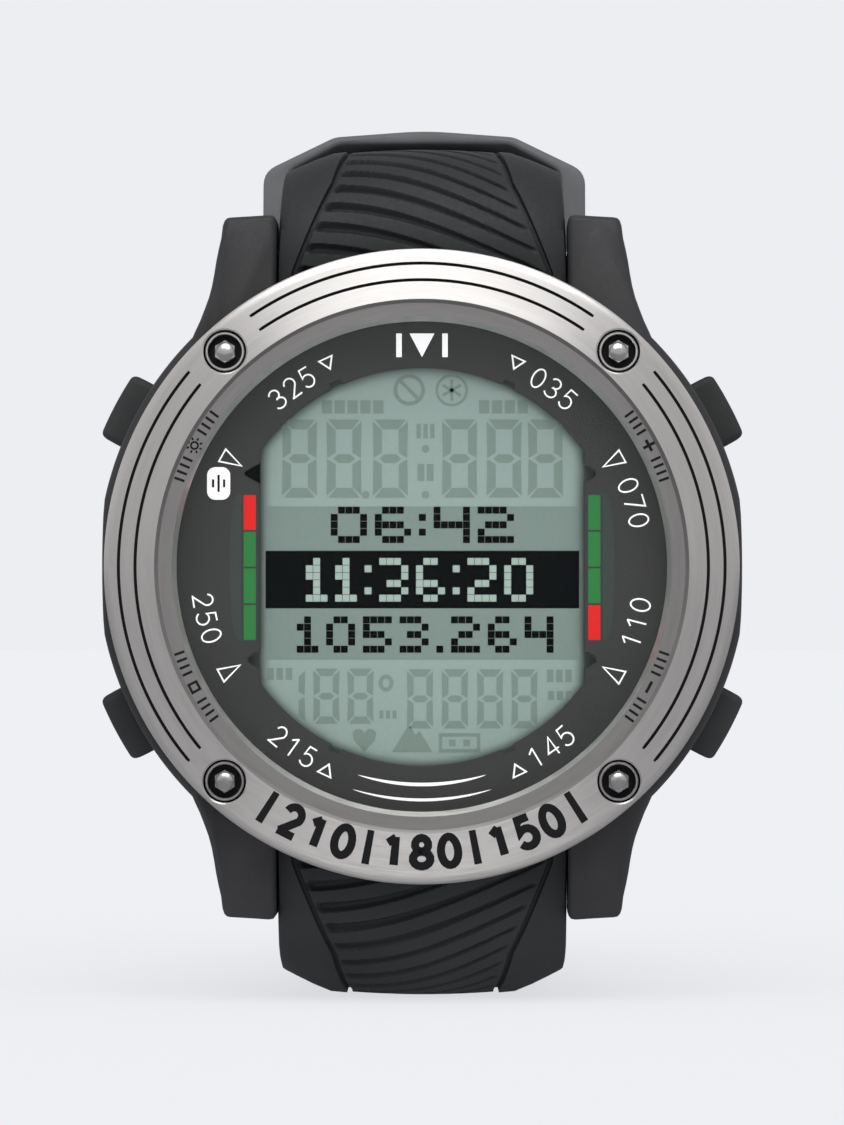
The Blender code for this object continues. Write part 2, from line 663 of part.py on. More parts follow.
def add_spring_bars(head):
    half = [(BAR_RADIUS, BAR_SHOULDER), (BAR_TIP_RADIUS, BAR_SHOULDER), (BAR_TIP_RADIUS, BAR_HALF_LENGTH),
            (0, BAR_HALF_LENGTH)]
    profile = [(radius, -along) for radius, along in reversed(half)] + half
    for name, side in (("spring_bar_upper", 1), ("spring_bar_lower", -1)):
        add_object(name, turned(profile, 12, "X"), ((0.6, 0.6, 0.6), 0.25, 1.0), head,
                   place=(0, BAR_DEPTH, side * BAR_HEIGHT))


def upper_sections(path):
    """The buckle half: thick at the lugs, arched under the keepers, an eye at the buckle's bar."""
    eye = path.length() - EYE_RUN
    return [
        Section(0.0, STRAP_HALF_WIDTH, 9.6, 0.5, 7.4, 10.0, -0.5),
        Section(LUG_RUN, STRAP_HALF_WIDTH, 9.2, 0.7, 7.4, 10.0, -0.5),
        Section(10.0, 10.8, 7.8, 1.4, 6.0, 9.9, -0.5),
        Section(16.6, 10.6, 6.7, 2.0, 4.2, 9.7, -0.5),
        Section(27.0, 10.4, 6.5, 2.0, 3.3, 9.6, -0.4),
        Section(62.0, 10.2, 6.5, 2.0, 2.9, 9.5, -0.3),
        Section(eye - 1.5, 10.0, 8.0, 0.6, 2.8, 9.4, -0.3),
        Section(eye + 0.6, 10.0, 8.6, 0.5, 4.2, 9.4, -0.4),
        Section(eye + 2.9, 10.0, 8.6, 0.5, 4.2, 9.4, -0.4),
        Section(eye + EYE_RUN, 10.0, 8.6, 0.3, 2.6, 9.4, -0.3, 0.8),
    ]


def lower_sections(path):
    """The tail half: as thick at the lugs, a flat foot, then a thin tail arched over the other half."""
    ends = path.ends()
    foot_start, foot_end, back_end, tip = ends[2], ends[3], ends[4], ends[-1]
    overlap = ends[5]
    return [
        Section(0.0, STRAP_HALF_WIDTH, 9.6, 0.5, 7.4, 10.0, -0.5),
        Section(LUG_RUN, STRAP_HALF_WIDTH, 9.2, 0.7, 7.4, 10.0, -0.5),
        Section(10.0, STRAP_HALF_WIDTH, 7.8, 1.5, 6.2, 10.0, -0.5),
        Section(foot_start, 10.9, 7.05, 2.3, 4.4, 9.8, -0.3),
        Section(foot_start + 7, 10.5, 6.6, 2.0, 3.6, 9.7, -0.4),
        Section(foot_end, 10.4, 6.6, 1.6, 3.0, 9.6, -0.3),
        Section(foot_end + 24, 10.1, 8.0, 0.6, TAIL_THICKNESS, 9.4, -0.3),
        Section(back_end, 10.0, 8.0, 0.6, TAIL_THICKNESS, 9.2, -0.2),
        Section(overlap + 1.4, 10.0, 8.0, 1.1, TAIL_THICKNESS, 8.2, 0.4),
        Section(overlap + 25.4, 10.0, 6.5, 2.5, TAIL_THICKNESS, 6.8, 1.8),
        Section(tip - 5.0, 10.0, 6.5, 2.5, TAIL_THICKNESS, 6.8, 1.8),
        Section(tip - 2.0, 8.8, 6.3, 1.6, TAIL_THICKNESS, 6.8, 1.0),
        Section(tip, 5.6, 4.8, 0.4, TAIL_THICKNESS - 0.6, 5.0, 0.0, 0.3),
    ]


def pivot_place(path):
    """The buckle pivot's depth and height, under the outer face of the upper half's eye."""
    return path.point(path.length() - EYE_RUN + PIVOT_DROP, 0, -PIVOT_SINK)[1:]


def add_upper_strap(head, path):
    strap = add_object("strap_upper", strap_shape(path, upper_sections(path)), ((0.04, 0.042, 0.043), 0.6),
                       head)
    depth, height = pivot_place(path)
    hole = join_shapes([
        cross_rod(STRAP_HOLE_RADIUS, BEYOND_STRAP, 12, BAR_DEPTH, BAR_HEIGHT),
        cross_rod(PIVOT_HOLE_RADIUS, BEYOND_STRAP, 12, depth, height),
    ])
    apply_boolean(strap, add_cutter("upper_bar_holes", hole, head))
    notch = box((-NOTCH_HALF_WIDTH, depth - 5, height - 5), (NOTCH_HALF_WIDTH, depth + 5, height + 2.5))
    apply_boolean(strap, add_cutter("tongue_notch", notch, head))


def add_lower_strap(head, path):
    strap = add_object("strap_lower", strap_shape(path, lower_sections(path)), ((0.04, 0.042, 0.043), 0.6),
                       head)
    hole = cross_rod(STRAP_HOLE_RADIUS, BEYOND_STRAP, 12, BAR_DEPTH, -BAR_HEIGHT)
    apply_boolean(strap, add_cutter("lower_bar_hole", hole, head))
    shapes = []
    for number in range(-SLOTS_BEFORE, SLOTS_AFTER + 1):
        middle = buckle_slot_at(path) + number * SLOT_PITCH
        rings = []
        for out in (1.5, -TAIL_THICKNESS - 2.0):
            ends = [(-0.5, 0), (-0.3, -1), (0.3, -1), (0.5, 0), (0.3, 1), (-0.3, 1)]
            rings.append([slot_corner(path, middle, along * SLOT_LENGTH, across * SLOT_WIDTH / 2, out)
                          for along, across in ends])
        shapes.append(lofted(rings))
    apply_boolean(strap, add_cutter("tail_slots", join_shapes(shapes), head))


def slot_corner(path, middle, along, x, out):
    """A corner of a straight-sided slot: the slot's axis is square to the strap at its middle."""
    depth, height, heading = path.place(middle)
    base = path.point(middle, x, out)
    return (base[0], base[1] + along * math.cos(heading), base[2] + along * math.sin(heading))


def buckle_slot_at(path):
    """Where along the lower strap the slot in use lies, just before the end of its back bend."""
    return path.ends()[4] - 0.9


def keeper_outlines():
    """Half-outlines of the arched band, outside and inside, mirrored into closed loops of (x, out)."""
    outer = [(0, 4.15), (7.2, 3.6), (12.3, 1.0), (12.9, 0.3), (12.9, -4.2), (12.0, -5.0), (0, -5.0)]
    inner = [(0, 2.95), (6.8, 2.9), (10.6, 0.8), (10.9, 0.2), (10.9, -3.4), (10.6, -3.7), (0, -3.7)]
    return [half + [(-x, out) for x, out in reversed(half[1:-1])] for half in (outer, inner)]


def add_keepers(head, path):
    outer, inner = keeper_outlines()
    half = KEEPER_LENGTH / 2
    for name, at in (("keeper_free", FREE_KEEPER_AT), ("keeper_fixed", FIXED_KEEPER_AT)):
        depth, height, heading = path.place(at)
        keeper = add_object(name, band(outer, inner, -half, half), ((0.07, 0.072, 0.074), 0.6), head,
                            (0, depth, height), (heading, 0, 0))
        soften = keeper.modifiers.new("rounded_edges", "BEVEL")
        soften.width = 0.3 * MM
        soften.segments = 1
        soften.limit_method = "ANGLE"
        soften.angle_limit = math.radians(60)


def far_bar_place(path):
    """The buckle's far bar rests just outside the lower strap's back bend."""
    depth, height, _ = path.place(path.ends()[4])
    centre = depth - LOWER_BACK_RADIUS
    x, y = on_circle(LOWER_BACK_RADIUS + FAR_BAR_RADIUS + 0.4, -FAR_BAR_ANGLE)
    return centre + x, height + y


def add_buckle(head, upper, lower):
    pivot, far = pivot_place(upper), far_bar_place(lower)
    heading = math.atan2(far[1] - pivot[1], far[0] - pivot[0])
    reach = math.hypot(far[0] - pivot[0], far[1] - pivot[1])
    place, turn = (0, *pivot), (heading, 0, 0)
    steel = ((0.55, 0.55, 0.55), 0.28, 1.0)
    add_object("buckle_bar", cross_rod(PIVOT_RADIUS, PIVOT_HALF_LENGTH, 12), steel, head, place, turn)

    right = [(FRAME_INNER, -1.6), (FRAME_OUTER - 0.5, -1.6), (FRAME_OUTER, -1.1),
             (FRAME_OUTER, reach - 1.5), (FRAME_OUTER - 0.9, reach + 0.6), (FRAME_OUTER - 2.8, reach + 1.2),
             (0, reach + 1.2)]
    inside = [(0, reach - 1.2), (FRAME_INNER - 0.8, reach - 1.2), (FRAME_INNER, reach - 2.0)]
    outline = right + [(-x, y) for x, y in reversed(right[:-1])]
    outline += [(-x, y) for x, y in reversed(inside)] + inside[1:]
    faces = (-FRAME_THICKNESS / 2, FRAME_THICKNESS / 2)
    frame = add_object("buckle_frame", lofted([[(x, y, z) for x, y in outline] for z in faces]), steel, head,
                       place, turn)
    hole = cross_rod(PIVOT_HOLE_RADIUS, BEYOND_STRAP, 12)
    apply_boolean(frame, add_cutter("frame_bar_hole", hole, head, place, turn))
    add_tongue(head, place, turn, reach, steel)


def add_tongue(head, place, turn, reach, steel):
    """An eye on the pivot bar and a bent prong: up through the tail's slot and onto the far bar."""
    route = [(0.9, 0.95, 0.7), (4.0, 2.2, 0.7), (6.6, 3.9, 0.7), (8.6, 3.75, 0.7),
             (reach, 2.35, 0.7), (reach + 2.0, 2.0, 0.5)]
    rings = []
    for index, (along, out, half) in enumerate(route):
        before, after = route[max(index - 1, 0)], route[min(index + 1, len(route) - 1)]
        heading = math.atan2(after[1] - before[1], after[0] - before[0])
        ring = []
        for x, up in rounded_rectangle(TONGUE_HALF_WIDTH, half, 0.35, 1):
            ring.append((x, along - up * math.sin(heading), out + up * math.cos(heading)))
        rings.append(ring)
    tongue = add_object("buckle_tongue", lofted(rings), steel, head, place, turn)
    eye = [(PIVOT_HOLE_RADIUS, -1.3), (1.95, -1.3), (1.95, 1.3), (PIVOT_HOLE_RADIUS, 1.3)]
    apply_boolean(tongue, add_cutter("tongue_eye", turned(eye, 16, "X"), head, place, turn), "UNION")
    apply_boolean(tongue, add_cutter("tongue_bore", cross_rod(PIVOT_HOLE_RADIUS, 2, 16), head, place, turn))


def main():
    clear_scene()
    head = bpy.data.objects.new("head_place", None)
    bpy.context.scene.collection.objects.link(head)
    head.location = (0, -FOOT_DEPTH * MM, HEAD_HEIGHT * MM)

    add_bezel(head)
    add_screws(head, "bezel_screw", face=0.3, tip=9.3, seat=1.2)
    add_crystal_stack(head)
    add_display(head)
    add_electronics(head)
    add_battery(head)
    add_case(head)
    add_case_back(head)
    add_screws(head, "case_back_screw", face=15.7, tip=11.0, seat=15.1)
    add_battery_cap(head)
    add_buttons(head)

    upper = upper_path()
    lower = lower_path(upper)
    add_spring_bars(head)
    add_upper_strap(head, upper)
    add_lower_strap(head, lower)
    add_keepers(head, upper)
    add_buckle(head, upper, lower)


main()
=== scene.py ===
"""The looks of a wrist dive computer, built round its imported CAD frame.

Head pieces are placed from the head's own point, the centre of the bezel's front plane:
x to the right, depth backwards from that plane, height up from the dial's centre.
Sizes are in millimetres until a mesh is made.
"""
import math
from collections import namedtuple

import bmesh
import bpy
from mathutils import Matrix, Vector


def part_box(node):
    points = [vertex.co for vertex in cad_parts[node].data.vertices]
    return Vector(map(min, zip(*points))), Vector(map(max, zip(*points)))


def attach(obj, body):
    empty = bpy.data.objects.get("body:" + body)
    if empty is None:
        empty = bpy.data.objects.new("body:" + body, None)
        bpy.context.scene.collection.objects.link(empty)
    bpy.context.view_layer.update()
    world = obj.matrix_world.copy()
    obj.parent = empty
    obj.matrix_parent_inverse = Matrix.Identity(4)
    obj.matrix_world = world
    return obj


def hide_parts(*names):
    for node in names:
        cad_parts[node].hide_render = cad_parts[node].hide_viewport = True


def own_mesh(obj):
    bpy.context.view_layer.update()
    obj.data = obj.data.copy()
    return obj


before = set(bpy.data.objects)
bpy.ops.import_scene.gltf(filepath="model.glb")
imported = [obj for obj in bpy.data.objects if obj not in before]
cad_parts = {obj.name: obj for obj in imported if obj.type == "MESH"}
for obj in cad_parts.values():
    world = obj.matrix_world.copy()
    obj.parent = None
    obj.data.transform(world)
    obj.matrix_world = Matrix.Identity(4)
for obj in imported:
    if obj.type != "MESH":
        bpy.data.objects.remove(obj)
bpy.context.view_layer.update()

MM = 0.001
SHARP_ANGLE = 35       # degrees between faces from which an edge stays sharp

bezel_low, bezel_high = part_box("bezel_ring")
HEAD_Y = bezel_low.y / MM
HEAD_Z = (bezel_low.z + bezel_high.z) / 2 / MM
BEZEL_RADIUS = (bezel_high.x - bezel_low.x) / 2 / MM
FLOOR_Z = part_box("strap_lower")[0].z


def depth_of(node, end=0):
    """Depth of a node's front face, or with end=1 of its back face."""
    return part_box(node)[end].y / MM - HEAD_Y


# ---------------------------------------------------------------- mesh helpers

def head_point(x, depth, height):
    return (x, HEAD_Y + depth, HEAD_Z + height)


def new_piece(name, shape, material, body="watch", replaces=(), smooth=SHARP_ANGLE):
    """A mesh from a shape in the head's own axes, riding on a CAD body. A tool or a floor has no body."""
    vertices, faces = shape
    mesh = bpy.data.meshes.new(name)
    mesh.from_pydata([[c * MM for c in head_point(*vertex)] for vertex in vertices], [], faces)
    work = bmesh.new()
    work.from_mesh(mesh)
    bmesh.ops.recalc_face_normals(work, faces=work.faces)
    work.to_mesh(mesh)
    work.free()
    mesh.shade_smooth()
    mesh.set_sharp_from_angle(angle=math.radians(smooth))
    piece = bpy.data.objects.new(name, mesh)
    bpy.context.scene.collection.objects.link(piece)
    if material:
        mesh.materials.append(material)
    if body:
        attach(piece, body)
    if replaces:
        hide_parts(*replaces)
    return piece


def placed(shape, depth, height, heading):
    """A shape made in the strap's own axes (x, along, out), laid at a depth and height with a heading."""
    vertices, faces = shape
    c, s = math.cos(heading), math.sin(heading)
    laid = [(x, depth + along * c - out * s, height + along * s + out * c) for x, along, out in vertices]
    return laid, faces


def along_button(shape, degrees):
    """A shape made along a button's axis (out, depth, tangent), turned to the button's angle."""
    vertices, faces = shape
    c, s = on_circle(1, degrees)
    return [(out * c - side * s, BUTTON_DEPTH + y, out * s + side * c) for out, y, side in vertices], faces


def turned(profile, sides, axis="Y", centre=(0, 0, 0)):
    """A profile of (radius, along) spun round an axis. Radius 0 at both ends makes a solid."""
    vertices, rings = [], []
    for radius, along in profile:
        ring = []
        for step in range(1 if radius == 0 else sides):
            angle = 2 * math.pi * step / sides
            across, up = radius * math.cos(angle), radius * math.sin(angle)
            point = {"X": (along, across, up), "Y": (across, along, up), "Z": (across, up, along)}[axis]
            ring.append(len(vertices))
            vertices.append(tuple(a + b for a, b in zip(point, centre)))
        rings.append(ring)
    pairs = list(zip(rings, rings[1:]))
    if len(rings[0]) > 1:
        pairs.append((rings[-1], rings[0]))
    faces = []
    for one, other in pairs:
        for step in range(sides):
            after = (step + 1) % sides
            corners = [one[step % len(one)], one[after % len(one)],
                       other[after % len(other)], other[step % len(other)]]
            faces.append(list(dict.fromkeys(corners)))
    return vertices, faces


def lofted(rings, closed=False):
    """A skin over rings with equal numbers of points, capped at both ends unless it closes on itself."""
    count = len(rings[0])
    vertices = [point for ring in rings for point in ring]
    faces = [] if closed else [list(range(count)), list(range(len(vertices) - count, len(vertices)))]
    for start in range(0, len(vertices) if closed else len(vertices) - count, count):
        above = (start + count) % len(vertices)
        for step in range(count):
            after = (step + 1) % count
            faces.append([start + step, start + after, above + after, above + step])
    return vertices, faces


def joined(shapes):
    vertices, faces = [], []
    for more_vertices, more_faces in shapes:
        start = len(vertices)
        vertices += more_vertices
        faces += [[start + index for index in face] for face in more_faces]
    return vertices, faces


def rod(start, *lengths, sides=24, axis="X", centre=(0, 0, 0)):
    """Cylinders end to end along an axis, each given by its radius and where it ends."""
    profile = [(0, start)]
    for radius, end in lengths:
        profile += [(radius, profile[-1][1]), (radius, end)]
    return turned(profile + [(0, profile[-1][1])], sides, axis, centre)


def bow(x, y, rx, ry, low, high, steps=14):
    """Points along an ellipse about x, y, from angle low to high in degrees."""
    angles = [math.radians(low + (high - low) * step / steps) for step in range(steps + 1)]
    return [(x + rx * math.cos(a), y + ry * math.sin(a)) for a in angles]


def arc(radius, low, high, steps, centre=(0, 0)):
    return bow(*centre, radius, radius, low, high, steps)


def on_circle(radius, degrees):
    return radius * math.cos(math.radians(degrees)), radius * math.sin(math.radians(degrees))


def rounded_rectangle(half_width, half_height, corner, steps=6):
    points = []
    for quarter, (side, end) in enumerate(((1, 1), (-1, 1), (-1, -1), (1, -1))):
        centre = (side * (half_width - corner), end * (half_height - corner))
        points += arc(corner, 90 * quarter, 90 * quarter + 90, steps, centre)
    return points


def rounded_outline(points, reach, steps=5):
    """A closed outline with each corner replaced by a smooth curve that starts reach before it.

    reach is one distance, or one for each corner.
    """
    result = []
    reaches = reach if isinstance(reach, list) else [reach] * len(points)
    corners = zip(points[-1:] + points[:-1], points, points[1:] + points[:1], reaches)
    for before, corner, after, longest in corners:
        corner, before, after = Vector(corner), Vector(before), Vector(after)
        reach_in = min(longest, (before - corner).length * 0.45)
        reach_out = min(longest, (after - corner).length * 0.45)
        start = corner + (before - corner).normalized() * reach_in
        end = corner + (after - corner).normalized() * reach_out
        for step in range(steps + 1):
            t = step / steps
            result.append(tuple(start * (1 - t) ** 2 + corner * 2 * t * (1 - t) + end * t * t))
    return result


def subdivided(outline, longest):
    """The same closed outline with points added so that no side is longer than longest."""
    result = []
    for here, after in zip(outline, outline[1:] + outline[:1]):
        pieces = max(1, math.ceil(math.dist(here, after) / longest))
        result += [tuple(a + (b - a) * step / pieces for a, b in zip(here, after))
                   for step in range(pieces)]
    return result


def inset(outline, distance):
    """An outline moved inwards along its corners' normals. The outline runs anticlockwise."""
    moved = []
    for before, here, after in zip(outline[-1:] + outline[:-1], outline, outline[1:] + outline[:1]):
        along = Vector(after) - Vector(before)
        normal = Vector((-along.y, along.x)).normalized()
        moved.append((here[0] + normal.x * distance, here[1] + normal.y * distance))
    return moved


def sleeve(outline, rims):
    """An outline of x and height drawn out along the depth, moved inwards as each (depth, inset) says."""
    return lofted([[(x, depth, height) for x, height in inset(outline, push)] for depth, push in rims])


def soft_rims(low, high, edge, steps=3):
    """(position, inset) pairs that give a slab from low to high rounded edges of radius edge."""
    quarter = [math.radians(90 * step / steps) for step in range(steps + 1)]
    first = [(low + edge * (1 - math.sin(a)), edge * (1 - math.cos(a))) for a in reversed(quarter)]
    last = [(high - edge * (1 - math.sin(a)), edge * (1 - math.cos(a))) for a in quarter]
    return first + last


def slab(outline, low, high, edge):
    """A slab with rounded edges, between two heights over its outline's plane."""
    return lofted([[(*point, position) for point in inset(outline, distance)]
                   for position, distance in soft_rims(low, high, edge)])


def cut(piece, shape, name, operation="DIFFERENCE"):
    """A Boolean applied at once, so that the tool doesn't stay in the scene."""
    tool = new_piece(name, shape, None, body=None)
    modifier = piece.modifiers.new(name, "BOOLEAN")
    modifier.operation = operation
    modifier.object = tool
    modifier.solver = "EXACT"
    bpy.context.view_layer.update()
    graph = bpy.context.evaluated_depsgraph_get()
    result = bpy.data.meshes.new_from_object(piece.evaluated_get(graph), depsgraph=graph)
    piece.modifiers.clear()
    piece.data = result
    result.shade_smooth()
    result.set_sharp_from_angle(angle=math.radians(SHARP_ANGLE))
    bpy.data.objects.remove(tool, do_unlink=True)


def paint(piece, material, chosen):
    """A second material on the faces for which chosen(x, depth, height) of their middle is true."""
    materials = piece.data.materials
    if material.name not in materials:
        materials.append(material)
    for polygon in piece.data.polygons:
        x, y, z = polygon.center
        if chosen(x / MM, y / MM - HEAD_Y, z / MM - HEAD_Z):
            polygon.material_index = materials.find(material.name)


# ---------------------------------------------------------------- materials

class Nodes:
    """Short names for building the node tree of a material or a world."""

    def __init__(self, owner):
        owner.use_nodes = True
        self.owner = owner
        self.tree = owner.node_tree
        self.shader = self.tree.nodes.get("Principled BSDF")

    def add(self, kind, inputs=None, **settings):
        node = self.tree.nodes.new(kind)
        for key, value in settings.items():
            setattr(node, key, value)
        for key, value in (inputs or {}).items():
            if isinstance(value, bpy.types.NodeSocket):
                self.tree.links.new(value, node.inputs[key])
            else:
                node.inputs[key].default_value = value
        return node

    def set(self, **values):
        for key, value in values.items():
            name = key.replace("_", " ")
            if isinstance(value, bpy.types.NodeSocket):
                self.tree.links.new(value, self.shader.inputs[name])
            else:
                self.shader.inputs[name].default_value = value

    def position(self):
        return self.add("ShaderNodeTexCoord").outputs["Object"]

    def math(self, operation, first, second=0.0):
        return self.add("ShaderNodeMath", {0: first, 1: second}, operation=operation).outputs[0]

    def noise(self, vector, scale, detail=3.0, roughness=0.55):
        node = self.add("ShaderNodeTexNoise",
                        {"Vector": vector, "Scale": scale, "Detail": detail, "Roughness": roughness})
        return node.outputs["Fac"]

    def ramp(self, factor, low, high, start=0.35, end=0.65):
        """Blends from colour low to colour high as factor goes from start to end."""
        node = self.add("ShaderNodeValToRGB", {"Fac": factor})
        for element, position, colour in zip(node.color_ramp.elements, (start, end), (low, high)):
            element.position = position
            element.color = (*colour, 1)
        return node.outputs["Color"]

    def spread(self, factor, low, high, start=0.3, end=0.7):
        """A number that goes from low to high as factor goes from start to end."""
        node = self.add("ShaderNodeMapRange", {"Value": factor, "From Min": start, "From Max": end,
                                               "To Min": low, "To Max": high})
        return node.outputs["Result"]

    def bump(self, height, strength, distance):
        node = self.add("ShaderNodeBump", {"Height": height, "Strength": strength, "Distance": distance})
        self.set(Normal=node.outputs["Normal"])

    def stretched(self, scale):
        return self.add("ShaderNodeMapping", {"Vector": self.position(), "Scale": scale}).outputs[0]

    def round_position(self):
        """Radius and angle about the head's axis, in metres and radians, as sockets."""
        parts = self.add("ShaderNodeSeparateXYZ", {"Vector": self.position()})
        x, z = parts.outputs["X"], self.math("SUBTRACT", parts.outputs["Z"], HEAD_Z * MM)
        squares = self.math("ADD", self.math("MULTIPLY", x, x), self.math("MULTIPLY", z, z))
        radius = self.math("SQRT", squares)
        angle = self.math("ARCTAN2", z, x)
        return radius, angle


def shade(level):
    """A screen level from 0 to 255 as the linear value that a shader takes."""
    share = level / 255
    return share / 12.92 if share <= 0.04045 else ((share + 0.055) / 1.055) ** 2.4


def tone(red, green, blue):
    return shade(red), shade(green), shade(blue)


def scaled(colour, factor):
    return tuple(c * factor for c in colour)


def new_material(name):
    return Nodes(bpy.data.materials.new(name))


BUMP = 0.00002         # metres that the fine grain of a surface stands up


def turned_steel(name, colour, roughness, anisotropy, streak=0.10):
    """Steel brushed in circles about the dial's centre."""
    n = new_material(name)
    radius, angle = n.round_position()

    def lines(across, around, **settings):
        """Noise drawn out round the dial: across lines a metre outwards, around lines a radian."""
        vector = n.add("ShaderNodeCombineXYZ", {"X": n.math("MULTIPLY", radius, across),
                                                "Y": n.math("MULTIPLY", angle, around)}).outputs[0]
        return n.noise(vector, 1.0, **settings)

    fine = lines(9000.0, 6.0, detail=4.0, roughness=0.7)
    broad = lines(1400.0, 2.0)
    both = n.math("ADD", n.math("MULTIPLY", fine, 0.6), n.math("MULTIPLY", broad, 0.4))
    n.set(Base_Color=n.ramp(both, scaled(colour, 1 - streak), scaled(colour, 1 + streak), 0.3, 0.7),
          Metallic=1.0, Roughness=n.spread(fine, roughness - 0.05, roughness + 0.07),
          Anisotropic=anisotropy, Anisotropic_Rotation=0.25,
          Tangent=n.add("ShaderNodeTangent", direction_type="RADIAL", axis="Y").outputs[0])
    n.bump(fine, 0.25, BUMP)
    return n.owner


def worked_steel(name, colour, roughness):
    """Polished or satin steel with faint straight scratches and handling marks."""
    n = new_material(name)
    lines = n.noise(n.stretched((900.0, 60.0, 60.0)), 12.0, 5.0, 0.65)
    marks = n.noise(n.position(), 900.0, 2.0)
    n.set(Base_Color=n.ramp(lines, scaled(colour, 0.9), colour, 0.3, 0.7),
          Metallic=1.0, Roughness=n.spread(marks, roughness - 0.05, roughness + 0.10))
    n.bump(lines, 0.12, BUMP)
    return n.owner


def moulded(name, colour, roughness, grain=4200.0, strength=0.35, mottle=0.12, gloss=0.35, glow=0.0):
    """Moulded polymer or rubber: fine grain and a slight mottle. glow is painted light: the surface gives
    off light in its own colour.
    """
    n = new_material(name)
    fine = n.noise(n.position(), grain, 3.0, 0.6)
    broad = n.noise(n.position(), grain / 26, 3.0, 0.5)
    n.set(Base_Color=n.ramp(broad, scaled(colour, 1 - mottle), scaled(colour, 1 + mottle)),
          Specular_IOR_Level=gloss, Roughness=n.spread(fine, roughness - 0.06, roughness + 0.08),
          Emission_Color=(*colour, 1), Emission_Strength=glow)
    n.bump(fine, strength, BUMP)
    return n.owner


def printed(name, colour, roughness=0.55, gloss=0.15, glow=0.0):
    """A printed or enamelled mark with a faint unevenness in the ink, or a patch of painted shade. glow is
    painted light: the mark gives off light in its own colour.
    """
    n = new_material(name)
    grain = n.noise(n.position(), 6000.0, 2.0)
    n.set(Base_Color=n.ramp(grain, scaled(colour, 0.94), colour, 0.3, 0.6),
          Roughness=n.spread(grain, roughness - 0.04, roughness + 0.06), Specular_IOR_Level=gloss,
          Emission_Color=(*colour, 1), Emission_Strength=glow)
    return n.owner


def lcd_glass(name, colour, painted_shade_colour):
    """The display's reflector: pale grey-green, with painted shade that darkens it round its border."""
    n = new_material(name)
    radius, _ = n.round_position()
    x = n.math("ABSOLUTE", n.add("ShaderNodeSeparateXYZ", {"Vector": n.position()}).outputs["X"])
    # Painted shade: darker towards the window's rim and its flat sides.
    near_rim = n.spread(radius, 0.0, 1.0, 0.0145, 0.0153)
    near_side = n.spread(x, 0.0, 1.0, 0.0114, 0.0124)
    edge = n.math("MAXIMUM", near_rim, near_side)
    grain = n.noise(n.position(), 5200.0, 2.0)
    body = n.ramp(grain, scaled(colour, 0.97), scaled(colour, 1.03), 0.3, 0.7)
    mix = n.add("ShaderNodeMix", {"Factor": n.math("POWER", edge, 1.6)}, data_type="RGBA")
    n.tree.links.new(body, mix.inputs["A"])
    mix.inputs["B"].default_value = (*painted_shade_colour, 1)
    n.set(Base_Color=mix.outputs["Result"], Roughness=n.spread(grain, 0.40, 0.50), Specular_IOR_Level=0.15)
    return n.owner


def clear_crystal(name):
    """Coated mineral glass: almost all see-through, with a sharp gloss and a trace of handling film."""
    n = new_material(name)
    film = n.noise(n.position(), 260.0, 3.0)
    n.set(Base_Color=n.ramp(film, (0.001, 0.001, 0.002), (0.004, 0.005, 0.006)), Alpha=0.05, IOR=2.0,
          Roughness=n.spread(film, 0.02, 0.06))
    n.owner.blend_method = "BLEND"
    return n.owner


def solder_board(name):
    """Green solder mask with lighter copper tracks under it."""
    n = new_material(name)
    tracks = n.noise(n.stretched((1.0, 1.0, 6.0)), 700.0, 1.0)
    n.set(Base_Color=n.ramp(tracks, (0.010, 0.075, 0.030), (0.03, 0.17, 0.07), 0.48, 0.52),
          Roughness=n.spread(tracks, 0.35, 0.45))
    return n.owner


steel_face = turned_steel("bezel_brushed", tone(219, 216, 214), 0.36, 0.87)
steel_ledge = turned_steel("bezel_slope", tone(146, 144, 143), 0.46, 0.1)
steel_bright = worked_steel("screw_steel", tone(200, 200, 200), 0.22)
steel_screw = worked_steel("screw_head_steel", tone(196, 195, 194), 0.30)
steel_buckle = worked_steel("buckle_satin", tone(186, 186, 186), 0.30)
polymer = moulded("case_polymer", tone(40, 40, 42), 0.58)
rubber = moulded("strap_rubber", tone(34, 36, 37), 0.62, grain=3200.0, gloss=0.3)
button_rubber = moulded("button_rubber", tone(36, 38, 38), 0.66, grain=3000.0, strength=0.5, mottle=0.2)
keeper_rubber = moulded("keeper_rubber", tone(92, 94, 96), 0.64, grain=3000.0)
seal_rubber = moulded("seal_rubber", tone(24, 24, 24), 0.62)
# The dial paint's glow is painted light: it lifts the dial where the bezel's lip shades it.
dial_paint_with_painted_light = moulded("dial_paint_with_painted_light", tone(49, 50, 49), 0.72, 5200.0, 0.04, mottle=0.03, gloss=0.1, glow=0.6)
# The white ink's glow is painted light that brightens the white marks.
white_ink_with_painted_light = printed("white_ink_with_painted_light", (0.90, 0.90, 0.90), glow=0.42)
# black_ink_and_shade is black enamel in the engraving and print, and painted shade in the screw recesses and
# sockets.
black_ink_and_shade = printed("black_enamel_and_shade", (0.008, 0.008, 0.009), 0.5, 0.1)
lcd_black = printed("lcd_black", (0.002, 0.003, 0.003), 0.5, 0.0)
lcd_ghost = printed("lcd_ghost", tone(123, 140, 132), 0.45, 0.1)
lcd_field = printed("lcd_dot_field", tone(124, 141, 134), 0.45, 0.1)
lcd_light = printed("lcd_light_dots", tone(160, 180, 170), 0.45, 0.1)
# The second tone is the painted shade round the display's border.
lcd_face = lcd_glass("lcd_reflector", tone(144, 162, 155), tone(70, 80, 75))
bar_red = printed("bar_red", tone(222, 34, 31), 0.5)
bar_green = printed("bar_green", tone(44, 124, 62), 0.5)
# slot_shade is painted shade: the shaded display seen through the slots beside the bars.
slot_shade = printed("slot_shade", tone(60, 70, 66), 0.5)
crystal_glass = clear_crystal("crystal_glass")

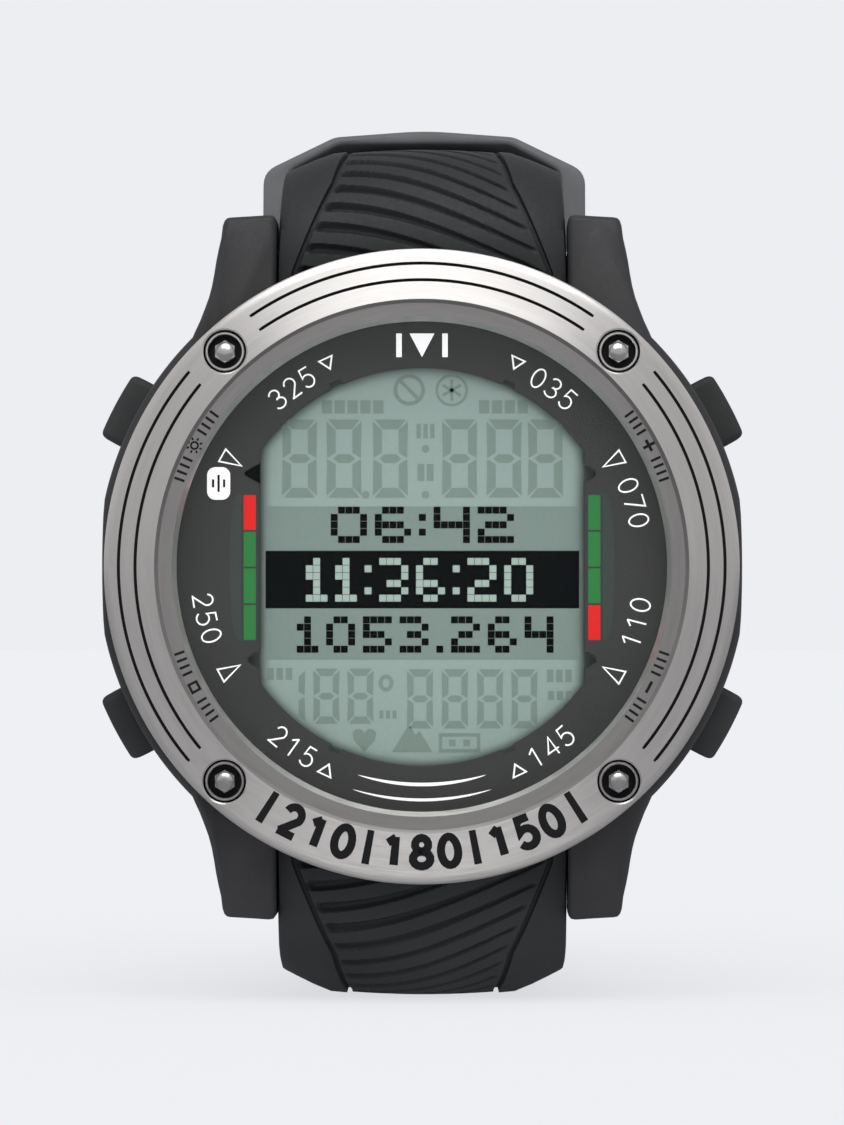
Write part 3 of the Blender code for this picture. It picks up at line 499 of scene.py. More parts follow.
CAD_FINISHES = {
    **dict.fromkeys(("crystal_gasket", "case_back_seal", "battery_cap_seal", "button_seal"), seal_rubber),
    **dict.fromkeys(("pressure_sensor", "spring_bar", "button_clip"), steel_bright),
    "crystal": crystal_glass,
    "lcd_panel": lcd_face,
    "light_guide": moulded("light_guide_acrylic", (0.75, 0.78, 0.80), 0.25),
    "circuit_board": solder_board("solder_mask"),
    "battery": worked_steel("cell_nickel", (0.60, 0.60, 0.59), 0.28),
    "buckle_bar": steel_buckle,
    "zebra_strip": moulded("zebra_silicone", (0.55, 0.32, 0.32), 0.6),
    "battery_contact": worked_steel("contact_gold", (0.65, 0.48, 0.20), 0.28),
    "switch": worked_steel("switch_can", (0.55, 0.55, 0.54), 0.32),
    "processor_chip": moulded("chip_epoxy", (0.02, 0.02, 0.02), 0.45),
    "radio_module": moulded("radio_can", (0.30, 0.30, 0.30), 0.4),
    "buzzer": moulded("buzzer_case", (0.03, 0.03, 0.035), 0.5),
}


def finish_cad_nodes():
    """Every CAD node that stays gets the material whose key begins its name."""
    for name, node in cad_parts.items():
        keys = [key for key in CAD_FINISHES if name.startswith(key)]
        if keys:
            node.data.materials.clear()
            node.data.materials.append(CAD_FINISHES[max(keys, key=len)])


# ---------------------------------------------------------------- flat marks

Mark = namedtuple("Mark", "points faces")


def ribbon(points, width, closed=False, taper=False):
    """A line of even width through 2-D points, as quads. taper draws its ends to a point."""
    count = len(points)
    sides = []
    for index, point in enumerate(points):
        before = points[index - 1] if index or closed else point
        after = points[(index + 1) % count] if index < count - 1 or closed else point
        here = Vector(point)
        into, out = here - Vector(before), Vector(after) - here
        into = into.normalized() if into.length > 1e-9 else out.normalized()
        out = out.normalized() if out.length > 1e-9 else into
        normal = Vector((-into.y - out.y, into.x + out.x)).normalized()
        spread = min(2.0, 1 / max(0.4, normal.dot(Vector((-out.y, out.x)))))
        half = width / 2 * (math.sin(math.pi * index / (count - 1)) ** 0.6 if taper else 1.0) + 1e-4
        sides.append((here + normal * half * spread, here - normal * half * spread))
    flat = [tuple(p) for pair in sides for p in pair]
    last = count if closed else count - 1
    faces = [[2 * i, 2 * i + 1, (2 * i + 3) % (2 * count), (2 * i + 2) % (2 * count)] for i in range(last)]
    return Mark(flat, faces)


def patch(points):
    return Mark(list(points), [list(range(len(points)))])


def block(x, y, width, height):
    """A filled rectangle about its middle."""
    return patch([(x - width / 2, y - height / 2), (x + width / 2, y - height / 2),
                  (x + width / 2, y + height / 2), (x - width / 2, y + height / 2)])


def moved(mark, x, y, scale=1.0):
    return Mark([(x + px * scale, y + py * scale) for px, py in mark.points], mark.faces)


# Each digit's strokes in a box 0.6 wide and 1 high
SIX = [bow(0.3, 0.31, 0.3, 0.31, 0, 360), [(0.01, 0.36), (0.04, 0.55), (0.14, 0.78), (0.4, 1.0)]]
STROKES = {
    "0": [bow(0.3, 0.5, 0.3, 0.5, 0, 360, 24)],
    "1": [[(0.06, 0.76), (0.34, 0.98)], [(0.34, 1.0), (0.34, 0.0)]],
    "2": [bow(0.3, 0.71, 0.28, 0.29, 170, -30) + [(0.06, 0.0)], [(0.0, 0.0), (0.6, 0.0)]],
    "3": [bow(0.27, 0.75, 0.26, 0.25, 155, -90) + bow(0.27, 0.26, 0.32, 0.26, 88, -155)],
    "4": [[(0.46, 0.0), (0.46, 1.0), (0.0, 0.28), (0.62, 0.28)]],
    "5": [[(0.54, 1.0), (0.12, 1.0), (0.07, 0.55)] + bow(0.28, 0.32, 0.31, 0.32, 125, -150)],
    "6": SIX,
    "7": [[(0.0, 1.0), (0.6, 1.0), (0.2, 0.0)]],
    "8": [bow(0.3, 0.76, 0.24, 0.24, -90, 270), bow(0.3, 0.26, 0.3, 0.26, 90, 450)],
    "9": [[(0.6 - x, 1 - y) for x, y in stroke] for stroke in SIX],
}


def number_marks(text, height, line, pitch):
    """Digits in a row about the origin, each as marks of strokes of even width."""
    marks, start = [], -pitch * height * (len(text) - 1) / 2
    for place, digit in enumerate(text):
        for stroke in STROKES[digit]:
            shape = [((x - 0.3) * height, (y - 0.5) * height) for x, y in stroke]
            ring = stroke[0] == stroke[-1] or math.dist(stroke[0], stroke[-1]) < 1e-6
            mark = ribbon(shape[:-1] if ring else shape, line, closed=ring)
            marks.append(moved(mark, start + place * pitch * height, 0))
    return marks


def round_the_dial(marks, degrees, radius, upside=False):
    """Marks laid along a circle: reading clockwise, or anticlockwise with their tops inwards."""
    result = []
    for mark in marks:
        points = []
        for x, y in mark.points:
            angle = math.radians(degrees) + (x if upside else -x) / radius
            reach = radius - y if upside else radius + y
            points.append((reach * math.cos(angle), reach * math.sin(angle)))
        result.append(Mark(points, mark.faces))
    return result


def ink(name, marks, depth, material, thickness=0.02):
    """Marks as one thin solid print, or as a thin sheet of painted shade. depth is a number or a function of
    the distance from the centre.
    """
    layers = []
    for mark in marks:
        points = [(x, depth(math.hypot(x, height)) if callable(depth) else depth, height)
                  for x, height in mark.points]
        layers.append((points, mark.faces))
    piece = new_piece(name, joined(layers), material)
    piece.data.shade_flat()
    for polygon in piece.data.polygons:
        if polygon.normal.y > 0:
            polygon.flip()
    solid = piece.modifiers.new("thickness", "SOLIDIFY")
    solid.thickness = thickness * MM
    solid.offset = -1
    return piece


# ---------------------------------------------------------------- bezel and screws

FLAT_RADIUS = 20.15    # where the bezel's face ends and the step down to its ledge begins
LEDGE_OUTER, LEDGE_INNER = 19.9, 18.88
LEDGE_DEPTH, LEDGE_FALL = 0.28, 0.02   # at its outer edge, and its fall for each millimetre inwards
LIP_RADIUS, SKIRT_RADIUS = 18.55, 19.6
SEAT_GAP = 0.3         # between the bezel's seat and the crystal
DOME = 0.36            # how far the bezel's face falls back towards its rim
GROOVE_WIDTH, GROOVE_DEPTH = 0.24, 0.22
# Each engraved groove's radius, with its stretches' middles and half-spans in degrees: none at the foot
GROOVES = {22.88: ((90, 34.5), (0, 40.0), (180, 40.0)), 21.62: ((90, 34.3), (0, 39.3), (180, 39.3))}
SCREW_CIRCLE = 22.0
SCREW_PLACES = [on_circle(SCREW_CIRCLE, degrees) for degrees in (47.5, 132.5, 227.5, 312.5)]
SCREW_HOLE, SHANK_RADIUS = 1.05, 0.75
RECESS_RADIUS = 1.63
SCREW_FACE = 0.10      # how far a screw's rim lies behind the bezel's face
PRINT_GAP = 0.012      # how far a mark stands off the steel that it is printed on


def bezel_face(radius):
    """Depth of the bezel's gently domed face."""
    return DOME * max(0.0, (radius - FLAT_RADIUS) / (BEZEL_RADIUS - FLAT_RADIUS))


def ledge_depth(radius):
    """Depth of the ledge inside the bezel's face, which falls a little towards the crystal."""
    return LEDGE_DEPTH + (LEDGE_OUTER - radius) * LEDGE_FALL


def under_face(shape):
    """A shape whose depths are measured from the bezel's domed face."""
    vertices, faces = shape
    return [(x, depth + bezel_face(math.hypot(x, height)), height) for x, depth, height in vertices], faces


def in_groove(radius, degrees):
    for groove, stretches in GROOVES.items():
        if abs(radius - groove) < GROOVE_WIDTH * 0.45:
            return any(abs((degrees - middle + 180) % 360 - 180) < half for middle, half in stretches)
    return False


def is_engraved(x, depth, height):
    radius = math.hypot(x, height)
    return (FLAT_RADIUS + 0.5 < radius < BEZEL_RADIUS - 0.3
            and bezel_face(radius) + GROOVE_DEPTH * 0.4 < depth < DOME + GROOVE_DEPTH)


def is_ledge(x, depth, height):
    return LEDGE_INNER < math.hypot(x, height) < FLAT_RADIUS and depth < ledge_depth(LEDGE_INNER)


# Painted shade: the faces deep in a screw's recess, which are painted black.
def is_shaded_recess(x, depth, height):
    away = min(math.dist((x, height), place) for place in SCREW_PLACES)
    return away < RECESS_RADIUS + 0.03 and depth > bezel_face(math.hypot(x, height)) + 0.2


def make_bezel():
    """The bezel as rings of stations round its circle. A station without a depth lies on the domed face."""
    seat, back = depth_of("crystal") - SEAT_GAP, depth_of("bezel_ring", 1)
    half, sides = GROOVE_WIDTH / 2, 720
    stations = [(BEZEL_RADIUS, back - 0.15), (BEZEL_RADIUS, DOME + 0.22),
                (BEZEL_RADIUS - 0.06, DOME + 0.08), (BEZEL_RADIUS - 0.2, None)]
    offsets = (0.5, half, half * 0.8, -half * 0.8, -half, -0.5)
    stations += [(groove + offset, None) for groove in GROOVES for offset in offsets]
    stations += [(FLAT_RADIUS + 0.12, None), (FLAT_RADIUS + 0.03, None), (FLAT_RADIUS - 0.03, 0.05)]
    stations += [(radius, ledge_depth(radius)) for radius in (LEDGE_OUTER, 19.5, 19.2, 18.95, LEDGE_INNER)]
    stations += [(LEDGE_INNER - 0.06, ledge_depth(LEDGE_INNER) + 0.1), (LIP_RADIUS + 0.07, 0.98),
                 (LIP_RADIUS, 1.1), (LIP_RADIUS, seat), (SKIRT_RADIUS, seat), (SKIRT_RADIUS, back),
                 (BEZEL_RADIUS - 0.15, back)]
    rings = []
    for step in range(sides):
        degrees, ring = 360 * step / sides, []
        for radius, depth in stations:
            if depth is None:
                depth = bezel_face(radius) + (GROOVE_DEPTH if in_groove(radius, degrees) else 0)
            x, height = on_circle(radius, degrees)
            ring.append((x, depth, height))
        rings.append(ring)
    bezel = new_piece("bezel", lofted(rings, closed=True), steel_face,
                      replaces=["bezel_ring"], smooth=25)
    paint(bezel, black_ink_and_shade, is_engraved)
    paint(bezel, steel_ledge, is_ledge)
    profile = [(0, -1), (1.86, -1), (1.86, -0.12), (RECESS_RADIUS, 0.12), (RECESS_RADIUS, 1.3),
               (SCREW_HOLE, 1.3), (SCREW_HOLE, 4), (0, 4)]
    holes = [under_face(turned(profile, 48, centre=(x, 0, height))) for x, height in SCREW_PLACES]
    cut(bezel, joined(holes), "screw_recesses")
    # Painted shade: the recesses' walls and floors are black where shade falls round the screw heads.
    paint(bezel, black_ink_and_shade, is_shaded_recess)


def make_screws():
    """Four screws, each with a rim, a round recess painted black as shade, and a hexagonal post that has a
    domed centre.
    """
    sides = 48
    edge, inside = SCREW_FACE + 0.08, SCREW_FACE + 0.7
    profile = [(0, inside), (1.22, inside), (1.26, edge), (1.32, SCREW_FACE), (1.42, SCREW_FACE),
               (1.5, edge), (1.5, 0.9), (SHANK_RADIUS, 0.9), (SHANK_RADIUS, 9), (0, 9)]
    hexagon = [(0.9, 0.75), (0.9, 0.16), (0.83, 0.09)]
    dome = [(0.72, 0.09), (0.66, 0.17), (0.6, 0.12), (0.45, 0.03), (0.2, 0.0)]
    for number, (x, height) in enumerate(SCREW_PLACES, 1):
        head = under_face(turned(profile, sides, centre=(x, 0, height)))
        screw = new_piece(f"bezel_screw_head_{number}", head, steel_screw,
                          replaces=[f"bezel_screw_{number}"])
        # Painted shade: the floor and wall of the head's recess round the post are black.
        paint(screw, black_ink_and_shade, lambda px, depth, py: math.dist((px, py), (x, height)) < 1.25
              and bezel_face(SCREW_CIRCLE) + 0.3 < depth < 1.2)
        rings = []
        for radius, depth in hexagon + dome:
            ring = []
            for step in range(sides):
                turn = 360 * step / sides
                flat = math.cos(math.radians(30)) / math.cos(math.radians(turn % 60 - 30))
                px, py = on_circle(radius * flat if (radius, depth) in hexagon else radius, turn + 30)
                ring.append((x + px, SCREW_FACE + depth, height + py))
            rings.append(ring)
        new_piece(f"screw_post_{number}", under_face(lofted(rings)), steel_bright)


def bezel_symbols():
    """Plain symbols by the buttons on the bezel's inner ledge, and a degree scale at its foot."""
    line, radius = 0.19, 19.42
    sun = [ribbon(bow(0, 0, 0.36, 0.36, 0, 360)[:-1], line, closed=True)]
    for turn in range(8):
        x, y = on_circle(1.0, turn * 45)
        sun.append(ribbon([(x * 0.55, y * 0.55), (x * 0.82, y * 0.82)], line))
    sun = [moved(mark, 0, 0, 0.75) for mark in sun]
    cross = [block(0, 0, 0.95, line * 1.2), block(0, 0, line * 1.2, 0.95)]
    minus = [block(0, 0, 0.95, line * 1.2)]
    square = [ribbon([(-0.32, -0.32), (0.32, -0.32), (0.32, 0.32), (-0.32, 0.32)], line, closed=True)]
    sides = [block(side * offset, 0, line, 0.8) for side in (1, -1) for offset in (1.15, 1.7, 2.25, 2.8)]
    places = ((sun, 152, False), (cross, 28, False), (square, 208, True), (minus, 332, True))
    marks = []
    for symbol, degrees, upside in places:
        marks += round_the_dial(symbol + sides, degrees, radius, upside)
    ink("bezel_symbols", marks, lambda r: ledge_depth(r) - PRINT_GAP, black_ink_and_shade)

    scale, radius = [], 21.55
    for text, degrees in (("210", 248.5), ("180", 270), ("150", 291.5)):
        scale += round_the_dial(number_marks(text, 2.15, 0.62, pitch=0.98), degrees, radius, True)
    for degrees in (237.4, 259.2, 280.8, 302.6):
        scale += round_the_dial([block(0, 0, 0.55, 2.6)], degrees, radius, True)
    ink("bezel_scale", scale, lambda r: bezel_face(r) - PRINT_GAP, black_ink_and_shade)


# ---------------------------------------------------------------- dial ring and display

RING_OUTER, FLANGE_RADIUS = 18.0, 18.9
WINDOW_RADIUS = 15.15
WINDOW_SIDE = 12.3
POINTER_HEIGHT = 7.1
SLOT_HALF_HEIGHT = 5.6
LAYER = 0.02           # depth between a face and the print on it, or between two prints


def ring_front():
    """Depth of the printed face, a thin flange that covers the gasket close behind the crystal."""
    return depth_of("crystal", 1) + 0.08


def pointer_notch(side, end):
    """A small triangle cut into the window's side: its base end, its apex and its other end."""
    corners = [(WINDOW_SIDE, 0.62), (WINDOW_SIDE + 0.45, 0.5), (WINDOW_SIDE + 0.92, 0.14),
               (WINDOW_SIDE + 0.92, -0.14), (WINDOW_SIDE + 0.45, -0.5), (WINDOW_SIDE, -0.62)]
    return [(side * x, end * (POINTER_HEIGHT + offset)) for x, offset in corners]


def window_outline():
    """The ring's opening: a circle with flat sides, notched at its top and bottom and beside the bars."""
    points, steps = [], 240
    reach = math.degrees(math.acos(WINDOW_SIDE / WINDOW_RADIUS))
    for step in range(steps + 1):
        degrees = reach + (180 - 2 * reach) * step / steps
        notch = any(abs(degrees - middle) < 1.6 for middle in (64.5, 115.5))
        points.append(on_circle(WINDOW_RADIUS + (0.45 if notch else 0.0), degrees))
    left = pointer_notch(-1, 1) + list(reversed(pointer_notch(-1, -1)))
    half = points + left
    return half + [(-x, -y) for x, y in half]


def make_dial_ring():
    """The ring with its window, its printed marks, the painted shade of the slots by the bars, the pill and
    the dark pointer.
    """
    front, back = ring_front(), depth_of("dial_ring", 1)
    base = rod(front, (FLANGE_RADIUS, front + 0.16), (RING_OUTER, back), sides=160, axis="Y")
    ring = new_piece("dial_ring_printed", base, dial_paint_with_painted_light, replaces=["dial_ring"],
                     smooth=30)
    edge = 0.12
    bevel = ((front - 1, -edge), (front, -edge), (front + edge, 0), (back + 1, 0))
    cut(ring, sleeve(window_outline(), bevel), "window")
    face = front - LAYER
    ink("dial_marks", dial_marks(), face, white_ink_with_painted_light)
    x, height = on_circle(16.72, 157.7)
    pill = moved(patch(rounded_rectangle(0.88, 1.24, 0.62, 8)), x, height)
    ink("dial_pill", [pill], face, white_ink_with_painted_light)
    # Painted shade: dark grey-green patches stand for the shaded display seen through the slots beside the
    # bars.
    for name, side in (("right", 1), ("left", -1)):
        bulge = [(side * (13.74 + 0.88 * math.cos(a) ** 0.6), SLOT_HALF_HEIGHT * math.sin(a))
                 for a in (math.radians(-90 + 7.5 * step) for step in range(25))]
        ink(f"dial_slot_shade_{name}", [patch(bulge)], face, slot_shade)
    waves = [block(x + offset, height, 0.17, size)
             for offset, size in ((-0.42, 0.6), (0, 1.3), (0.42, 0.6))]
    ink("dial_pill_bars", waves, face - 0.03, black_ink_and_shade)
    corners = ((0, 0.78), (1.2, 0.12), (1.2, -0.12), (0, -0.78))
    pointer = patch([(-WINDOW_SIDE - x, POINTER_HEIGHT + y) for x, y in corners])
    ink("dial_pointer", [pointer], face, lcd_black)


def dial_marks():
    """Compass degrees round the ring, each with a small outline pointer, and the marks at 12 and 6."""
    line, marks = 0.125, []
    labels = (("325", 126.0, 114.9), ("035", 53.6, 65.1), ("070", 16.8, 28.9), ("110", 345.4, 331.0),
              ("145", 305.6, 295.2), ("215", 234.4, 244.8), ("250", 193.4, 208.4), ("", 0.0, 150.8))
    for text, degrees, pointer in labels:
        upside = pointer > 180
        if text:
            marks += round_the_dial(number_marks(text, 1.5, line, pitch=0.92), degrees, 16.85, upside)
        sign = -1 if upside else 1
        beside = abs(math.cos(math.radians(pointer))) > 0.7
        base, apex = (0.36, 1.32) if beside else (0.42, 0.45)
        triangle = [(-0.52, base * sign), (0.52, base * sign), (0, -apex * sign)]
        marks += round_the_dial([ribbon(triangle, line, closed=True)], pointer, 17.05, upside)
    marks += [patch([(-0.95, 17.9 - 0.15), (0, 15.95), (0.95, 17.9 - 0.15)])]
    marks += [block(side * 1.75, 16.85, 0.42, 1.8) for side in (1, -1)]
    marks += [ribbon(arc(16.55, 252.8, 287.2, 40), 0.26, taper=True),
              ribbon(arc(17.72, 252.6, 287.4, 40), 0.22, taper=True)]
    return marks


# Dot-matrix figures, five dots high; a point or colon is one dot wide
DOT_FIGURES = {
    "0": ".##. #..# #..# #..# .##.", "1": ".#. ##. .#. .#. ###", "2": "###. ...# .##. #... ####",
    "3": "###. ...# .##. ...# ###.", "4": "#..# #..# #### ...# ...#", "5": "#### #... ###. ...# ###.",
    "6": ".##. #... ###. #..# .##.", ":": ". # . # .", ".": ". . . . #",
}
WIDE_FIGURES = {
    "0": ".###. #...# #...# #...# .###.", "6": ".###. #.... ####. #...# .###.", ":": ". # . # .",
    "4": "#...# #...# ##### ....# ....#", "2": "####. ....# .###. #.... #####",
}
DOT = 0.56


def dot_row(text, x, y, figures=DOT_FIGURES, extra_row=False, gap=0.035):
    """Square dots of a line of figures about a middle. extra_row repeats a row, for six dots' height."""
    dots, column = [], 0
    for figure in text:
        rows = figures[figure].split()
        if extra_row:
            rows = rows[:2] + rows[1:] if figure != ":" else rows[:3] + rows[2:]
        for down, row in enumerate(rows):
            dots += [(column + across, -down) for across, dot in enumerate(row) if dot == "#"]
        column += len(rows[0]) + 1
    right, down = column - 2, len(rows) - 1
    return [block(x + (across - right / 2) * DOT, y + (up + down / 2) * DOT, DOT - gap, DOT - gap)
            for across, up in dots]


def segment_digit(x, y, width, height, thick, which="abcdefg"):
    """A seven-segment figure of separate bevelled bars."""
    w, h, t, gap = width / 2, height / 2, thick, 0.05
    bars = {
        "a": [(-w + gap + 0.1, h), (w - gap - 0.1, h), (w - t, h - t), (-w + t, h - t)],
        "d": [(-w + gap + 0.1, -h), (-w + t, -h + t), (w - t, -h + t), (w - gap - 0.1, -h)],
        "g": [(-w + t * 0.7, 0), (-w + t * 1.2, t * 0.45), (w - t * 1.2, t * 0.45), (w - t * 0.7, 0),
              (w - t * 1.2, -t * 0.45), (-w + t * 1.2, -t * 0.45)],
        "f": [(-w, h - gap - 0.1), (-w + t - gap, h - t - gap), (-w + t - gap, t * 0.6), (-w + gap, gap)],
        "e": [(-w, -h + gap + 0.1), (-w + gap, -gap), (-w + t - gap, -t * 0.6),
              (-w + t - gap, -h + t + gap)],
    }
    bars["b"] = [(-px, py) for px, py in bars["f"]]
    bars["c"] = [(-px, py) for px, py in bars["e"]]
    return [moved(patch(bars[name]), x, y) for name in which]


def ghost_marks():
    """The display's unlit segments: figures, units and small icons, a little darker than its ground."""
    marks = []
    for x in (-9.35, -5.95, -2.42, 2.86, 6.25, 9.4):
        marks += segment_digit(x, 8.26, 2.67, 5.95, 0.74)
    for x in (-7.3, -4.7):
        marks += segment_digit(x, -9.85, 2.0, 4.2, 0.56)
    for x in (-0.16, 2.5, 5.18, 7.79):
        marks += segment_digit(x, -10.05, 2.0, 4.5, 0.56)
    marks += segment_digit(-9.9, -9.85, 2.0, 4.2, 0.56, "bc")
    for x, y in ((0.26, 9.0), (0.26, 5.5), (-4.3, 5.5)):
        marks.append(patch(bow(x, y, 0.3, 0.3, 0, 330, 11)))
    units = ((-5.3, 12.2, 5, 0.78, 1.0), (6.2, 12.2, 4, 0.78, 1.0), (10.45, -8.3, 3, 0.5, 0.95),
             (10.5, -9.8, 3, 0.48, 0.7), (-10.85, -8.15, 3, 0.5, 0.9), (-2.6, -11.25, 3, 0.3, 0.6),
             (0.26, 10.35, 3, 0.32, 1.1), (0.26, 7.2, 2, 0.5, 1.3))
    for x, y, count, width, height in units:
        for number in range(count):
            marks.append(block(x + (number - (count - 1) / 2) * (width + 0.2), y, width, height))
    marks.append(ribbon(bow(-2.75, -8.85, 0.42, 0.5, 0, 360, 16)[:-1], 0.3, closed=True))
    marks += [ribbon(bow(-0.98, 13.5, 1.06, 1.06, 0, 360, 32)[:-1], 0.28, closed=True),
              ribbon([(-1.62, 14.14), (-0.34, 12.86)], 0.28)]
    marks.append(ribbon(bow(2.26, 13.47, 1.14, 1.14, 0, 360, 32)[:-1], 0.2, closed=True))
    for turn in range(3):
        x, y = on_circle(0.8, 30 + 60 * turn)
        marks.append(ribbon([(2.26 - x, 13.47 - y), (2.26 + x, 13.47 + y)], 0.22))
    marks.append(patch([(-2.3, -14.1), (-1.0, -12.0), (-0.5, -12.8), (-0.2, -12.5), (0.8, -14.1)]))
    lobes = bow(-3.95, -12.75, 0.45, 0.4, 0, 180, 8) + bow(-4.85, -12.75, 0.45, 0.4, 0, 180, 8)
    marks.append(patch(lobes + [(-5.2, -13.2), (-4.4, -14.1), (-3.6, -13.2)]))
    marks.append(ribbon([(1.4, -14.0), (4.3, -14.0), (4.3, -12.8), (1.4, -12.8)], 0.26, closed=True))
    marks += [block(2.3, -13.4, 0.5, 0.5), block(3.4, -13.4, 0.5, 0.5)]
    return marks


def make_display():
    """The display's marks as thin layers in front of its glass, from the ghost segments forward."""
    glass = depth_of("lcd_panel")
    field_top, field_bottom, half = 4.6, -7.05, 11.95
    field = block(0, (field_top + field_bottom) / 2, 2 * half, field_top - field_bottom)
    band = block(0.02, -0.96, 2 * half, 4.38)
    lit = dot_row("06:42", 0.02, 3.21, WIDE_FIGURES) + dot_row("1053.264", 0.23, -5.15)
    band_dots = dot_row("11:36:20", -0.2, -0.98, extra_row=True)
    for name, marks, layers, material in (
            ("lcd_dot_field", [field], 1, lcd_field), ("lcd_ghosts", ghost_marks(), 1, lcd_ghost),
            ("lcd_lit_dots", lit, 2, lcd_black), ("lcd_band", [band], 2, lcd_black),
            ("lcd_band_dots", band_dots, 3, lcd_light)):
        ink(name, marks, glass - layers * LAYER, material, 0.01)
    bars = {"r": [], "g": []}
    length, pitch, top = 2.65, 2.79, 4.13
    for side, order in ((-1, "rggg"), (1, "gggr")):
        for place, letter in enumerate(order):
            bars[letter].append(block(side * 13.1, top - place * pitch, 0.92, length))
    ink("dial_bars_red", bars["r"], ring_front() - LAYER, bar_red)
    ink("dial_bars_green", bars["g"], ring_front() - LAYER, bar_green)


# ---------------------------------------------------------------- case

CASE_RADIUS = 24.7
CASE_HALF_WIDTH = 24.35
SIDE_BOW = 84.0
LUG_INNER = 11.12
LUG_TIP = 26.9
# The lugs' fronts fall back by LUG_SLOPE for each millimetre past LUG_SLOPE_START, less towards the back
LUG_SLOPE, LUG_SLOPE_START = 0.21, 18.2
LUG_SLOPE_END, LUG_SLOPE_SPAN = 11.0, 7.7
STRAP_NOTCH = 20.7
BAR_DEPTH, BAR_HEIGHT = 9.8, 24.0      # the spring bars
BUTTONS = {"light": 152.0, "up": 28.0, "select": 208.0, "down": 332.0}
BUTTON_DEPTH = 8.8
BUTTON_AXIAL, BUTTON_TANGENT, BUTTON_FACE = 4.8, 5.4, 26.6
POCKET_FLOOR, CAP_INNER = 20.3, 22.9
SPRING_RADIUS, SPRING_WIRE, SPRING_COILS = 2.1, 0.18, 2.5
SPRING_END_GAP = 0.3
CAP_FLANGE = 1.4       # thickness of the battery cap's flange


def case_quarter():
    """The case from 3 o'clock round to the strap notch at 12 o'clock."""
    side = [(CASE_HALF_WIDTH - height ** 2 / (2 * SIDE_BOW), height) for height in (0, 1, 2, 3, 4)]
    flank = [(17.28, 17.9), (16.91, 18.7), (16.57, 19.6), (16.25, 20.5), (16.02, 21.4), (15.86, 22.3),
             (15.71, 23.3), (15.54, 24.2), (15.34, 25.1), (15.23, 26.05), (15.1, 26.45)]
    tip = [(14.9, 26.66), (14.6, 26.72), (13.2, 26.8), (11.7, LUG_TIP), (11.35, 26.84),
           (LUG_INNER + 0.05, 26.6), (LUG_INNER, 26.3)]
    notch = [(LUG_INNER, 24.4), (LUG_INNER, 22.4), (LUG_INNER, STRAP_NOTCH + 0.5),
             (LUG_INNER - 0.2, STRAP_NOTCH + 0.1), (LUG_INNER - 0.6, STRAP_NOTCH)]
    return side + arc(CASE_RADIUS, 12, 45, 33) + flank + tip + notch


def case_outline():
    quarter = case_quarter()
    return (quarter + [(-x, y) for x, y in reversed(quarter)] + [(-x, -y) for x, y in quarter][1:]
            + [(x, -y) for x, y in reversed(quarter)][:-1])


def make_case():
    """The shell with its lugs, its cavity, the buttons' pockets and the holes for screws and bars."""
    front, back = depth_of("case_body"), depth_of("case_body", 1)
    rims = [(front, 0.42), (front + 0.12, 0.22), (front + 0.4, 0.06), (front + 0.8, 0.0), (front + 3, 0.0),
            (11.6, 0.0), (12.2, 0.04), (12.7, 0.14), (13.0, 0.28), (back, 0.45)]
    outline, rings = case_outline(), []
    for depth, push in rims:
        ring = []
        for x, height in inset(outline, push):
            share = (LUG_SLOPE_END - min(depth, LUG_SLOPE_END)) / LUG_SLOPE_SPAN
            ring.append((x, depth + LUG_SLOPE * max(0.0, abs(height) - LUG_SLOPE_START) * share, height))
        rings.append(ring)
    case = new_piece("case_shell", lofted(rings), polymer, replaces=["case_body"],
                     smooth=32)
    cut(case, rod(1, (SKIRT_RADIUS, 5.0), (17.9, 16), sides=96, axis="Y"), "cavity")
    pocket, lip = [rounded_rectangle(BUTTON_AXIAL / 2 + gap, BUTTON_TANGENT / 2 + gap, corner)
                   for gap, corner in ((0.3, 0.85), (0.5, 1.05))]
    hollow = lofted([[(out, y, z) for y, z in ring]
                     for out, ring in ((POCKET_FLOOR, pocket), (24.1, pocket), (24.4, lip), (28.0, lip))])
    bore = rod(16.5, (1.1, 19.0), (1.8, 20.8))
    for degrees in BUTTONS.values():
        cut(case, along_button(hollow, degrees), "pocket")
        cut(case, along_button(bore, degrees), "bore")
    holes = [rod(start, (SCREW_HOLE, end), sides=20, axis="Y", centre=(x, 0, height))
             for x, height in SCREW_PLACES for start, end in ((1, 9.6), (10.7, 16))]
    holes += [rod(-12.7, (0.8, 12.7), sides=20, centre=(0, BAR_DEPTH, height))
              for height in (BAR_HEIGHT, -BAR_HEIGHT)]
    cut(case, joined(holes), "screw_holes")


def coil_spring(points=24, sides=8):
    """A short coil of round wire along a button's axis, just clear of the pocket's floor and the cap."""
    low, high = POCKET_FLOOR + SPRING_END_GAP + SPRING_WIRE, CAP_INNER - SPRING_END_GAP - SPRING_WIRE
    count = int(SPRING_COILS * points)
    rings = []
    for step in range(count + 1):
        ring = []
        for wire_x, wire_y in arc(SPRING_WIRE, 0, 360 - 360 / sides, sides - 1):
            y, z = on_circle(SPRING_RADIUS + wire_y, 360 * step / points)
            ring.append((low + (high - low) * step / count + wire_x, y, z))
        rings.append(ring)
    return lofted(rings)


